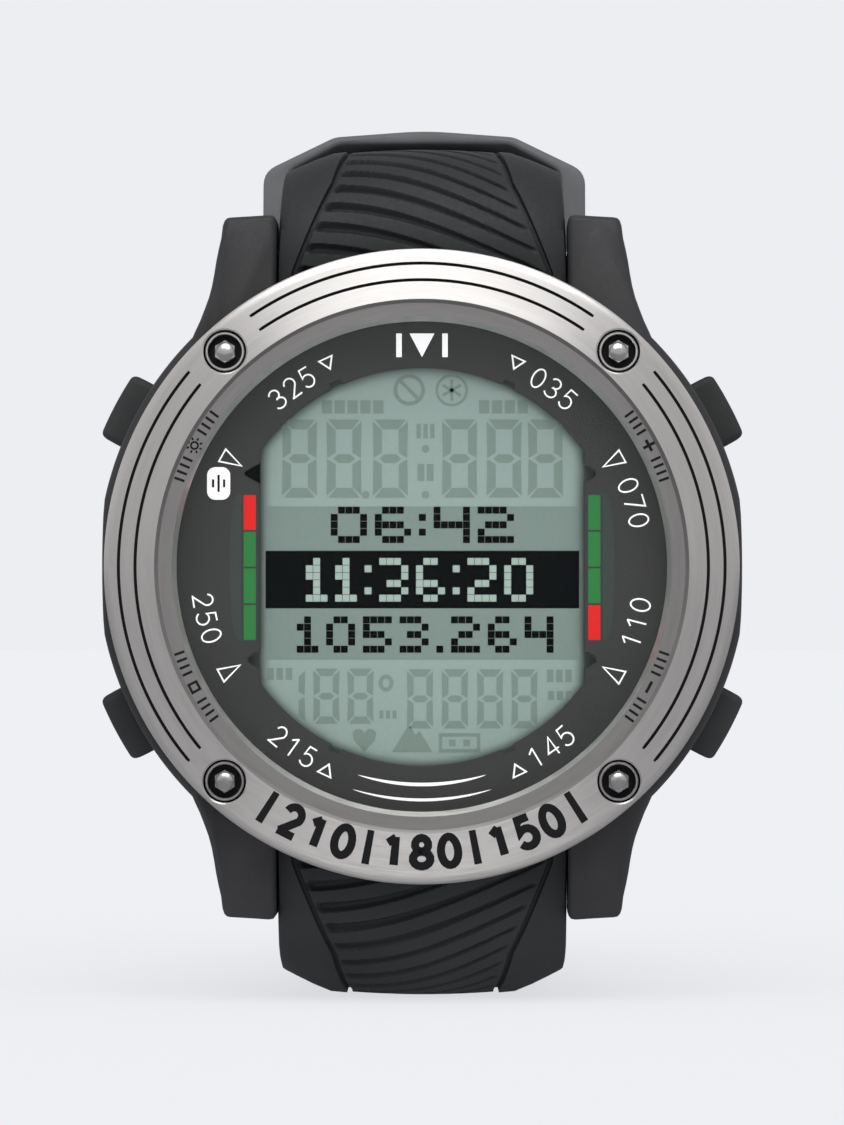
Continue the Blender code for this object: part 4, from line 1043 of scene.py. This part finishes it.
def make_buttons():
    """Each button's rubber cap with softly rounded edges, on its steel stem and its spring."""
    outline = subdivided(rounded_rectangle(BUTTON_AXIAL / 2, BUTTON_TANGENT / 2, 0.55, 8), 0.5)
    rims = [(CAP_INNER, 0.15), (23.05, 0.0), (25.5, 0.0), (26.1, 0.02), (26.32, 0.07), (26.47, 0.16),
            (26.56, 0.28), (BUTTON_FACE, 0.46)]
    outlines = [(out, inset(outline, push)) for out, push in rims]
    outlines += [(BUTTON_FACE, [(y * share, z * share) for y, z in outlines[-1][1]])
                 for share in (0.75, 0.5, 0.25)]
    cap = lofted([[(math.sqrt(out ** 2 - z ** 2), y, z) for y, z in ring] for out, ring in outlines])
    stem = turned([(0, 16.7), (0.7, 16.7), (0.8, 16.8), (0.8, 16.95), (0.5, 16.95), (0.5, 17.65),
                   (0.8, 17.65), (0.8, 22.85), (0, 22.85)], 24, "X")
    for name, degrees in BUTTONS.items():
        new_piece(f"button_cap_{name}", along_button(cap, degrees), button_rubber, body=f"button_{name}",
                  replaces=[f"button_{name}"])
        new_piece(f"button_stem_{name}", along_button(stem, degrees), steel_bright, body=f"button_{name}")
        spring = new_piece(f"button_coil_{name}", along_button(coil_spring(), degrees), steel_bright,
                           replaces=[f"button_spring_{name}"])
        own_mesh(spring)


def clipped_circle(radius, half_height, steps):
    """A circle with flat top and bottom, half_height from its centre."""
    reach = math.degrees(math.asin(half_height / radius))
    return arc(radius, -reach, reach, steps) + arc(radius, 180 - reach, 180 + reach, steps)


def make_case_back():
    """The case back with its seal groove, cap hole, turned line and pressure port, and its screws."""
    front, back = depth_of("case_back"), depth_of("case_back", 1)
    outline = clipped_circle(CASE_RADIUS - 0.8, STRAP_NOTCH - 0.2, 60)
    rims = [(front, 0.0), (back - 0.9, 0.0), (back - 0.55, 0.12), (back - 0.25, 0.38), (back - 0.06, 0.75),
            (back, 1.0)]
    plate = new_piece("case_back_plate", sleeve(outline, rims), polymer,
                      replaces=["case_back"])
    shoulder = depth_of("battery_cap", 1) - CAP_FLANGE - 0.3
    hole = [(0, 12), (14.6, 12), (14.6, shoulder), (15.6, shoulder), (15.6, back - 0.25),
            (15.85, back + 0.02), (15.85, 18), (0, 18)]
    port = [(0, 12), (0.7, 12), (0.7, back - 0.3), (1.0, back), (1.0, 18), (0, 18)]
    trace = [(17.9, back - 0.15), (18.2, back - 0.15), (18.25, back + 1), (17.85, back + 1)]
    cut(plate, turned([(18.5, 13), (19.9, 13), (19.9, 14.6), (18.5, 14.6)], 128), "seal_groove")
    cut(plate, turned(hole, 128), "cap_hole")
    cut(plate, turned(trace, 128), "turned_line")
    cut(plate, turned(port, 32, centre=(-17.1, 0, 0)), "port")
    sunk = [(0, 12), (SCREW_HOLE, 12), (SCREW_HOLE, 14.8), (1.6, 14.8), (1.6, back - 0.15), (1.75, back),
            (1.75, 17), (0, 17)]
    cut(plate, joined([turned(sunk, 32, centre=(x, 0, height)) for x, height in SCREW_PLACES]),
        "back_screw_holes")
    profile = [(0, 11.0), (SHANK_RADIUS, 11.0), (SHANK_RADIUS, 15.1), (1.25, 15.1), (1.25, 15.55),
               (1.12, 15.7), (0, 15.7)]
    for number, (x, height) in enumerate(SCREW_PLACES, 1):
        screw = new_piece(f"back_screw_{number}", turned(profile, 32, centre=(x, 0, height)), steel_bright,
                          replaces=[f"case_back_screw_{number}"])
        cut(screw, sleeve(arc(0.7, 15, 315, 5, (x, height)), ((15.1, 0), (17, 0))), "socket")


def make_battery_cap():
    """The battery cap: a flange with a shallow ring, a threaded neck left plain, and a coin slot."""
    back = depth_of("battery_cap", 1)
    flange = back - CAP_FLANGE
    profile = [(0, flange), (12.55, flange), (12.55, 11.8), (13.3, 11.8), (13.3, flange), (15.3, flange),
               (15.3, back - 0.4), (15.2, back - 0.15), (14.95, back - 0.02), (14.7, back),
               (11.4, back), (11.3, back - 0.12), (10.9, back - 0.12), (10.8, back), (0, back)]
    cap = new_piece("battery_cap_disc", turned(profile, 128), polymer, body="battery_cap",
                    replaces=["battery_cap"])
    cut(cap, sleeve(rounded_rectangle(9, 0.9, 0.85), ((back - 0.8, 0), (back + 1, 0))), "coin_slot")


# ---------------------------------------------------------------- strap

# A cross-section: drop is how far its outer edge falls, sink how far the whole of it lies inwards
Section = namedtuple("Section", "at half_width crown drop thickness inner_crown inner_drop sink",
                     defaults=(0.0,))
STRAP_HALF_WIDTH = 11.03
TAIL_THICKNESS = 2.2
SADDLE_GAP = 0.3
TAIL_PITCH = 9.2       # from slot to slot along the tail
PIVOT_HOLE = 1.1
KEEPER_HALF = 3.0      # half a keeper's length along the strap
KEEPER_FREE_AT, KEEPER_FIXED_AT = 34.0, 73.0
BUCKLE_INNER, BUCKLE_OUTER = 10.6, 12.8
BUCKLE_TIP = 1.2       # half the width of the buckle's cross bar
CROWN_FALL = 0.35      # how far the outer face falls from its middle to the crown's edge


class Path:
    """Lines and arcs in the (depth, height) plane. side is +1 where outwards is on the left."""

    def __init__(self, depth, height, heading, side, runs):
        self.start = (depth, height, math.radians(heading))
        self.side = side
        self.runs = [(length, math.radians(turn)) for length, turn in runs]

    def ends(self):
        distances = [0.0]
        for length, _ in self.runs:
            distances.append(distances[-1] + length)
        return distances

    def place(self, distance):
        depth, height, heading = self.start
        for length, turn in self.runs:
            step = min(distance, length)
            if turn:
                bend = turn / length
                after = heading + bend * step
                depth += (math.sin(after) - math.sin(heading)) / bend
                height -= (math.cos(after) - math.cos(heading)) / bend
                heading = after
            else:
                depth += step * math.cos(heading)
                height += step * math.sin(heading)
            distance -= step
            if distance <= 1e-9:
                break
        return depth, height, heading

    def point(self, distance, x, out):
        depth, height, heading = self.place(distance)
        out *= self.side
        return (x, depth - out * math.sin(heading), height + out * math.cos(heading))


def arc_run(radius, turn):
    return radius * math.radians(abs(turn)), turn


STRAP_DEPTH, STRAP_START = 5.0, 21.0   # where both halves' outer faces come out beside the bezel
LUG_RUN, UPPER_BEND, LOWER_BEND = 2.8, 8.8, 9.4
CROWN_RADIUS, CROWN_TURN, SLOPE_RUN = 80.0, 14.0, 12.0
BACK_RADIUS, LOWER_BACK_RADIUS, EYE_RUN = 28.0, 30.0, 4.0


def upper_path():
    return Path(STRAP_DEPTH, STRAP_START, 90, 1, [
        (LUG_RUN, 0), arc_run(UPPER_BEND, -90), arc_run(CROWN_RADIUS, -CROWN_TURN), (SLOPE_RUN, 0),
        arc_run(BACK_RADIUS, CROWN_TURN - 90), (EYE_RUN, 0)])


def lower_path(upper):
    back_depth, back_height, _ = upper.place(upper.ends()[-2])
    lift = TAIL_THICKNESS + SADDLE_GAP
    foot_height = -(STRAP_START + LUG_RUN + LOWER_BEND)
    foot_end = back_depth + lift - LOWER_BACK_RADIUS
    return Path(STRAP_DEPTH, -STRAP_START, -90, -1, [
        (LUG_RUN, 0), arc_run(LOWER_BEND, 90), (foot_end - STRAP_DEPTH - LOWER_BEND, 0),
        arc_run(LOWER_BACK_RADIUS, 90),
        (back_height - foot_height - LOWER_BACK_RADIUS, 0), arc_run(BACK_RADIUS + lift, 90 - CROWN_TURN),
        (SLOPE_RUN, 0), arc_run(CROWN_RADIUS + lift, 4.1)])


def upper_sections(path):
    eye = path.ends()[-2]
    return [Section(*row) for row in (
        (0.0, STRAP_HALF_WIDTH, 10.0, 0.5, 7.4, 10.0, -0.5),
        (2.8, STRAP_HALF_WIDTH, 9.5, 0.7, 7.4, 10.0, -0.5),
        (10.0, 10.8, 7.5, 1.4, 6.0, 9.9, -0.5),
        (16.6, 10.6, 6.7, 2.0, 4.2, 9.7, -0.5),
        (27.0, 10.4, 6.5, 2.0, 3.3, 9.6, -0.4),
        (62.0, 10.2, 6.5, 2.0, 2.9, 9.5, -0.3),
        (eye - 1.5, 10.0, 8.0, 0.6, 2.8, 9.4, -0.3),
        (eye + 0.6, 10.0, 8.6, 0.5, 4.2, 9.4, -0.4),
        (eye + 2.9, 10.0, 8.6, 0.5, 4.2, 9.4, -0.4),
        (eye + 3.7, 10.0, 8.6, 0.4, 3.2, 9.4, -0.3, 0.5),
        (eye + EYE_RUN, 9.9, 8.6, 0.3, 2.2, 9.4, -0.3, 1.0),
    )]


def lower_sections(path):
    ends = path.ends()
    foot_start, foot_end, back_end, overlap, tip = ends[2], ends[3], ends[4], ends[5], ends[-1]
    return [Section(*row) for row in (
        (0.0, STRAP_HALF_WIDTH, 10.0, 0.5, 7.4, 10.0, -0.5),
        (2.8, STRAP_HALF_WIDTH, 9.5, 0.7, 7.4, 10.0, -0.5),
        (10.0, STRAP_HALF_WIDTH, 7.7, 1.5, 6.2, 10.0, -0.5),
        (foot_start, 10.9, 7.05, 2.28, 4.4, 9.8, -0.3),
        (foot_start + 7, 10.5, 6.6, 2.0, 3.6, 9.7, -0.4),
        (foot_end, 10.4, 6.6, 1.6, 3.0, 9.6, -0.3),
        (foot_end + 24, 10.1, 8.0, 0.6, TAIL_THICKNESS, 9.4, -0.3),
        (back_end, 10.0, 8.0, 0.6, TAIL_THICKNESS, 9.2, -0.2),
        (overlap + 1.4, 10.0, 8.0, 1.1, TAIL_THICKNESS, 8.2, 0.4),
        (overlap + 25.4, 10.0, 6.5, 2.5, TAIL_THICKNESS, 6.8, 1.8),
        (tip - 5.0, 10.0, 6.5, 2.5, TAIL_THICKNESS, 6.8, 1.8),
        (tip - 3.0, 9.5, 6.4, 2.0, TAIL_THICKNESS, 6.8, 1.4),
        (tip - 1.2, 8.0, 6.0, 1.1, TAIL_THICKNESS, 6.4, 0.6),
        (tip - 0.3, 6.4, 5.4, 0.5, TAIL_THICKNESS - 0.2, 5.6, 0.1, 0.1),
        (tip, 5.4, 4.8, 0.4, TAIL_THICKNESS - 0.8, 5.0, 0.0, 0.4),
    )]


def section_at(sections, distance):
    for low, high in zip(sections, sections[1:]):
        if distance <= high.at:
            share = (distance - low.at) / (high.at - low.at)
            return Section(*(a + (b - a) * share for a, b in zip(low, high)))
    return sections[-1]


def smooth(value):
    value = min(1.0, max(0.0, value))
    return value * value * (3 - 2 * value)


PANEL_WIDE, PANEL_NARROW = 9.55, 5.45
PANEL_DEPTH, PANEL_EDGE_DEPTH = 0.10, 0.42     # how deep the panel and the line round it lie
RIB_PITCH, RIB_SWEEP, RIB_FIRST = 1.77, 5.4, 1.15
RIBS_END = 28.5
RIB_WIDTH, RIB_DEPTH = (0.86, 0.36), (0.62, 0.26)      # at the left and at the right
RIM_ROOM = 0.5         # least width of the strap's flank beside its ribbed panel


def panel_half_width(distance):
    """Half the ribbed panel's width: it narrows fast as far as the bend, then slowly to its least."""
    if distance < 9.3:
        return PANEL_WIDE - 0.385 * max(0.0, distance - 1.5)
    return max(PANEL_NARROW, 6.55 - 0.19 * (distance - 9.3))


def rib_depth(distance, x, half):
    """Depth of the swept transverse grooves: broad and deep at the left, thin at the right."""
    share = (x + half) / (2 * half)
    phase = (distance - RIB_FIRST + RIB_SWEEP * share ** 1.9) / RIB_PITCH
    away = (phase - math.floor(phase)) * RIB_PITCH
    width = RIB_WIDTH[0] + (RIB_WIDTH[1] - RIB_WIDTH[0]) * share
    if away > width:
        return 0.0
    bowl = math.sin(math.pi * away / width) ** 0.75
    ends = smooth((x + half) / 0.55) * smooth((half - x) / 0.7)
    deepest = RIB_DEPTH[0] + (RIB_DEPTH[1] - RIB_DEPTH[0]) * share
    return deepest * bowl * ends * smooth((RIBS_END - distance) / 2.0)


def strap_mesh(path, sections):
    """A loft whose outer side carries the panel's grooves."""
    length = sections[-1].at
    fine, middling, coarse = 0.09, 0.25, 0.9
    rows, distance = [], 0.0
    while distance < length - 1e-6:
        rows.append(distance)
        nearby = any(abs(distance - s.at) < 1.0 for s in sections[-5:])
        distance += fine if distance < RIBS_END + 0.5 else (middling if nearby else coarse)
    columns, rings = 110, []
    for distance in rows + [length]:
        s = section_at(sections, distance)
        half = panel_half_width(distance)
        fade = smooth((RIBS_END + 0.4 - distance) / 1.2)
        groove = PANEL_EDGE_DEPTH * fade
        outer = max(s.crown, half + RIM_ROOM)
        fall = min(CROWN_FALL, s.drop * 0.6)
        ring = []
        for x in (half * (2 * step / columns - 1) for step in range(columns + 1)):
            ring.append((x, -PANEL_DEPTH * fade - fall * (x / outer) ** 2 - rib_depth(distance, x, half)))
        edge = [(half + 0.08, -groove), (half + 0.34, -groove), (half + 0.44, 0.0)]
        right = [(x, out - fall * (x / outer) ** 2) for x, out in edge] + [(outer, -fall)]
        for share in (0.35, 0.7, 0.92):
            right.append((outer + (s.half_width - outer) * share, -fall - (s.drop - fall) * share ** 1.15))
        side_low = -s.thickness - s.inner_drop
        corner = min(0.45, (s.half_width - outer) * 0.3)
        right += [(s.half_width - corner * 0.25, -s.drop * 0.97 - corner * 0.1),
                  (s.half_width, -s.drop - corner), (s.half_width, side_low + 0.35),
                  (s.half_width - 0.12, side_low + 0.1),
                  (s.half_width - 0.4, side_low if s.inner_drop > 0 else side_low - 0.02),
                  (s.inner_crown, -s.thickness), (s.inner_crown * 0.5, -s.thickness)]
        ring += right + [(-x, out) for x, out in reversed(right)]
        rings.append([path.point(distance, x, out - s.sink) for x, out in ring])
    return lofted(rings)


def buckle_pivot():
    """Depth and height of the buckle's bar."""
    low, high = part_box("buckle_bar")
    return (low.y + high.y) / 2 / MM - HEAD_Y, (low.z + high.z) / 2 / MM - HEAD_Z


def bar_hole(height):
    return rod(-14, (1.2, 14), centre=(0, BAR_DEPTH, height))


def pivot_hole(reach, sides):
    return rod(-reach, (PIVOT_HOLE, reach), sides=sides, centre=(0, *buckle_pivot()))


def make_straps():
    """Both halves: the upper one holds the buckle's bar, and the lower one's tail is slotted."""
    upper = upper_path()
    lower = lower_path(upper)
    strap, tail = [new_piece(f"strap_{name}_ribbed", strap_mesh(path, sections(path)), rubber,
                             replaces=[f"strap_{name}"], smooth=50)
                   for name, path, sections in (("upper", upper, upper_sections),
                                                ("lower", lower, lower_sections))]
    depth, height = buckle_pivot()
    cut(strap, joined([bar_hole(BAR_HEIGHT), pivot_hole(14, 24)]), "bar_holes")
    notch = [(-1.7, height + 2.1), (-1.3, height + 2.5), (1.3, height + 2.5), (1.7, height + 2.1),
             (1.7, height - 5), (-1.7, height - 5)]
    cut(strap, sleeve(notch, ((depth - 5, 0), (depth + 5, 0))), "notch")
    cut(tail, bar_hole(-BAR_HEIGHT), "bar_hole")
    slots = []
    for number in range(-4, 5):
        middle = lower.ends()[4] - 0.9 + number * TAIL_PITCH
        heading = lower.place(middle)[2]
        rings = []
        for out in (1.5, -TAIL_THICKNESS - 2.0):
            base = lower.point(middle, 0, out)
            rings.append([(x, base[1] + along * math.cos(heading), base[2] + along * math.sin(heading))
                          for x, along in rounded_rectangle(1.4, 3.3, 1.35)])
        slots.append(lofted(rings))
    cut(tail, joined(slots), "tail_slots")
    return upper, lower


def make_keepers(upper):
    """Arched rubber bands round both strap layers, rounded on every edge."""
    outer_half = [(0, 4.15, 2.0), (7.2, 3.6, 0.45), (12.9, 0.72, 1.1), (12.9, -2.0, 0.3), (12.9, -4.2, 0.8),
                  (12.0, -5.0, 0.8), (0, -5.0, 1.0)]
    inner_half = [(0, 2.95, 1.0), (6.8, 2.9, 0.5), (10.6, 0.8, 0.5), (10.9, 0.2, 0.4), (10.9, -3.4, 0.4),
                  (10.6, -3.7, 0.4), (0, -3.7, 1.0)]
    loops = []
    for half in (outer_half, inner_half):
        closed = list(reversed(half + [(-x, out, reach) for x, out, reach in reversed(half[1:-1])]))
        loops.append(rounded_outline([(x, out) for x, out, _ in closed], [reach for _, _, reach in closed]))
    outer, inner = loops
    rims = [(outer, along, push) for along, push in soft_rims(-KEEPER_HALF, KEEPER_HALF, 0.45)]
    rims += [(inner, along, -push) for along, push in reversed(soft_rims(-KEEPER_HALF, KEEPER_HALF, 0.3, 2))]
    band = lofted([[(x, along, out) for x, out in inset(loop, push)] for loop, along, push in rims],
                  closed=True)
    for name, at, body in (("keeper_free", KEEPER_FREE_AT, "keeper_free"),
                           ("keeper_fixed", KEEPER_FIXED_AT, "watch")):
        new_piece(f"{name}_band", placed(band, *upper.place(at)), keeper_rubber, body=body,
                  replaces=[name], smooth=50)


def make_buckle(lower):
    """The steel frame and its bent tongue, made in the frame's own plane about the pivot bar."""
    pivot = buckle_pivot()
    depth, height, _ = lower.place(lower.ends()[4])
    x, y = on_circle(LOWER_BACK_RADIUS + BUCKLE_TIP + 0.4, -18.5)
    far = (depth - LOWER_BACK_RADIUS + x, height + y)
    heading = math.atan2(far[1] - pivot[1], far[0] - pivot[0])
    reach = math.dist(far, pivot)
    right = [(BUCKLE_INNER, -1.6), (BUCKLE_OUTER, -1.6), (BUCKLE_OUTER, reach + BUCKLE_TIP),
             (0, reach + BUCKLE_TIP)]
    inside = [(0, reach - BUCKLE_TIP), (BUCKLE_INNER, reach - BUCKLE_TIP)]
    outline = right + [(-px, py) for px, py in reversed(right[:-1])]
    outline += [(-px, py) for px, py in reversed(inside)] + inside[1:]
    bars = slab(rounded_outline(outline, 1.0), -1.15, 1.15, 0.45)
    buckle = new_piece("buckle_frame_bars", placed(bars, *pivot, heading), steel_buckle,
                       body="buckle_frame", replaces=["buckle_frame"])
    cut(buckle, pivot_hole(14, 32), "frame_bar_hole")

    # The tongue's middle line: how far along the frame, how far out of its plane and half its thickness
    route = [(0.9, 0.95, 0.7), (2.4, 1.45, 0.7), (4.0, 2.2, 0.7), (5.4, 3.15, 0.7), (6.6, 3.8, 0.7),
             (7.6, 3.9, 0.7), (8.8, 3.7, 0.7), (10.6, 3.05, 0.7), (reach, 2.35, 0.68),
             (reach + BUCKLE_TIP, 2.1, 0.6), (reach + 1.8, 2.0, 0.45), (reach + 2.0, 1.98, 0.25)]
    rings = []
    for before, (along, out, half), after in zip(route[:1] + route, route, route[1:] + route[-1:]):
        turn = math.atan2(after[1] - before[1], after[0] - before[0])
        wide = min(1.0, half / 0.6)
        rings.append([(px, along - up * math.sin(turn), out + up * math.cos(turn))
                      for px, up in rounded_rectangle(wide, half, min(half, wide) * 0.6, 4)])
    tongue = new_piece("buckle_tongue_prong", placed(lofted(rings), *pivot, heading), steel_buckle,
                       body="buckle_tongue", replaces=["buckle_tongue"])
    eye = turned([(PIVOT_HOLE, -1.2), (1.2, -1.3), (1.85, -1.3), (1.95, -1.2), (1.95, 1.2), (1.85, 1.3),
                  (1.2, 1.3), (PIVOT_HOLE, 1.2)], 40, "X", (0, *pivot))
    cut(tongue, eye, "tongue_eye", "UNION")
    cut(tongue, pivot_hole(2, 40), "tongue_bore")


# ---------------------------------------------------------------- stage

CAMERA_DISTANCE = 450.0
CAMERA_PLACE = (3.4, -CAMERA_DISTANCE, -5.0)    # x, depth and height from the head's point
CAMERA_AIM = (0.03, 0.0, 0.28)
FRAME_HEIGHT = 84.8    # millimetres that the picture's height takes in at the bezel's plane
BACKDROP = tone(237, 238, 242)
HORIZON_LIGHT, ZENITH_LIGHT = 0.68, 0.78
KEY_LIGHT = 2.0
# The floor's own shade, and its glow as seen by the camera, by matt surfaces and by glossy ones
FLOOR_SHADE, FLOOR_GLOW, FLOOR_BOUNCE, FLOOR_GLOSS = 0.17, 0.80, 1.5, 0.10
FLOOR_REACH = 9000


def make_camera():
    data = bpy.data.cameras.new("camera")
    data.sensor_fit = "VERTICAL"
    data.sensor_height = 36.0
    data.lens = data.sensor_height * CAMERA_DISTANCE / FRAME_HEIGHT
    data.clip_start = 0.01
    camera = bpy.data.objects.new("camera", data)
    place, aim = Vector(head_point(*CAMERA_PLACE)), Vector(head_point(*CAMERA_AIM))
    camera.location = place * MM
    camera.rotation_euler = (aim - place).to_track_quat("-Z", "Y").to_euler()
    bpy.context.scene.collection.objects.link(camera)
    bpy.context.scene.camera = camera


def add_sun(name, azimuth, elevation, angle, strength):
    """A soft light a long way off. Azimuth 0 is behind the camera, positive to its right."""
    data = bpy.data.lights.new(name, "SUN")
    data.angle = math.radians(angle)
    data.energy = strength
    across, up = math.radians(azimuth), math.radians(elevation)
    towards = Vector((math.sin(across) * math.cos(up), -math.cos(across) * math.cos(up), math.sin(up)))
    light = bpy.data.objects.new(name, data)
    light.rotation_euler = towards.to_track_quat("Z", "Y").to_euler()
    bpy.context.scene.collection.objects.link(light)


def make_world():
    """A pale studio, a little brighter overhead, which the camera sees as an even backdrop."""
    world = bpy.data.worlds.new("studio")
    bpy.context.scene.world = world
    n = Nodes(world)
    n.tree.nodes.clear()
    direction = n.add("ShaderNodeTexCoord").outputs["Generated"]
    height = n.add("ShaderNodeSeparateXYZ", {0: direction}).outputs["Z"]
    strength = n.spread(height, HORIZON_LIGHT, ZENITH_LIGHT, 0.0, 1.0)
    room = n.add("ShaderNodeBackground", {"Strength": strength})
    seen = n.add("ShaderNodeBackground", {"Color": (*BACKDROP, 1)})
    mix = n.add("ShaderNodeMixShader", {0: n.add("ShaderNodeLightPath").outputs["Is Camera Ray"],
                                        1: room.outputs[0], 2: seen.outputs[0]})
    n.add("ShaderNodeOutputWorld", {"Surface": mix.outputs[0]})


def make_stage():
    bpy.context.scene.view_settings.view_transform = "Standard"
    make_world()
    n = new_material("floor_paper")
    pale = scaled(scaled(BACKDROP, 1 / BACKDROP[0]), FLOOR_SHADE)
    path = n.add("ShaderNodeLightPath").outputs
    seen = n.spread(path["Is Camera Ray"], FLOOR_BOUNCE, FLOOR_GLOW, 0.0, 1.0)
    n.set(Base_Color=n.ramp(n.noise(n.position(), 300.0), scaled(pale, 0.995), pale),
          Roughness=0.9, Specular_IOR_Level=0.0, Emission_Color=(*BACKDROP, 1),
          Emission_Strength=n.spread(path["Is Glossy Ray"], seen, FLOOR_GLOSS, 0.0, 1.0))
    corners = [(across * FLOOR_REACH, back * FLOOR_REACH - HEAD_Y, -HEAD_Z)
               for across, back in ((-1, -1), (1, -1), (1, 1), (-1, 1))]
    floor = new_piece("floor", (corners, [[0, 1, 2, 3]]), n.owner, body=None)
    floor.location.z = FLOOR_Z
    add_sun("key", 0, 50, 50, KEY_LIGHT)


def main():
    finish_cad_nodes()
    make_bezel()
    make_screws()
    bezel_symbols()
    make_dial_ring()
    make_display()
    make_case()
    make_buttons()
    make_case_back()
    make_battery_cap()
    upper, lower = make_straps()
    make_keepers(upper)
    make_buckle(lower)
    make_camera()
    make_stage()


main()
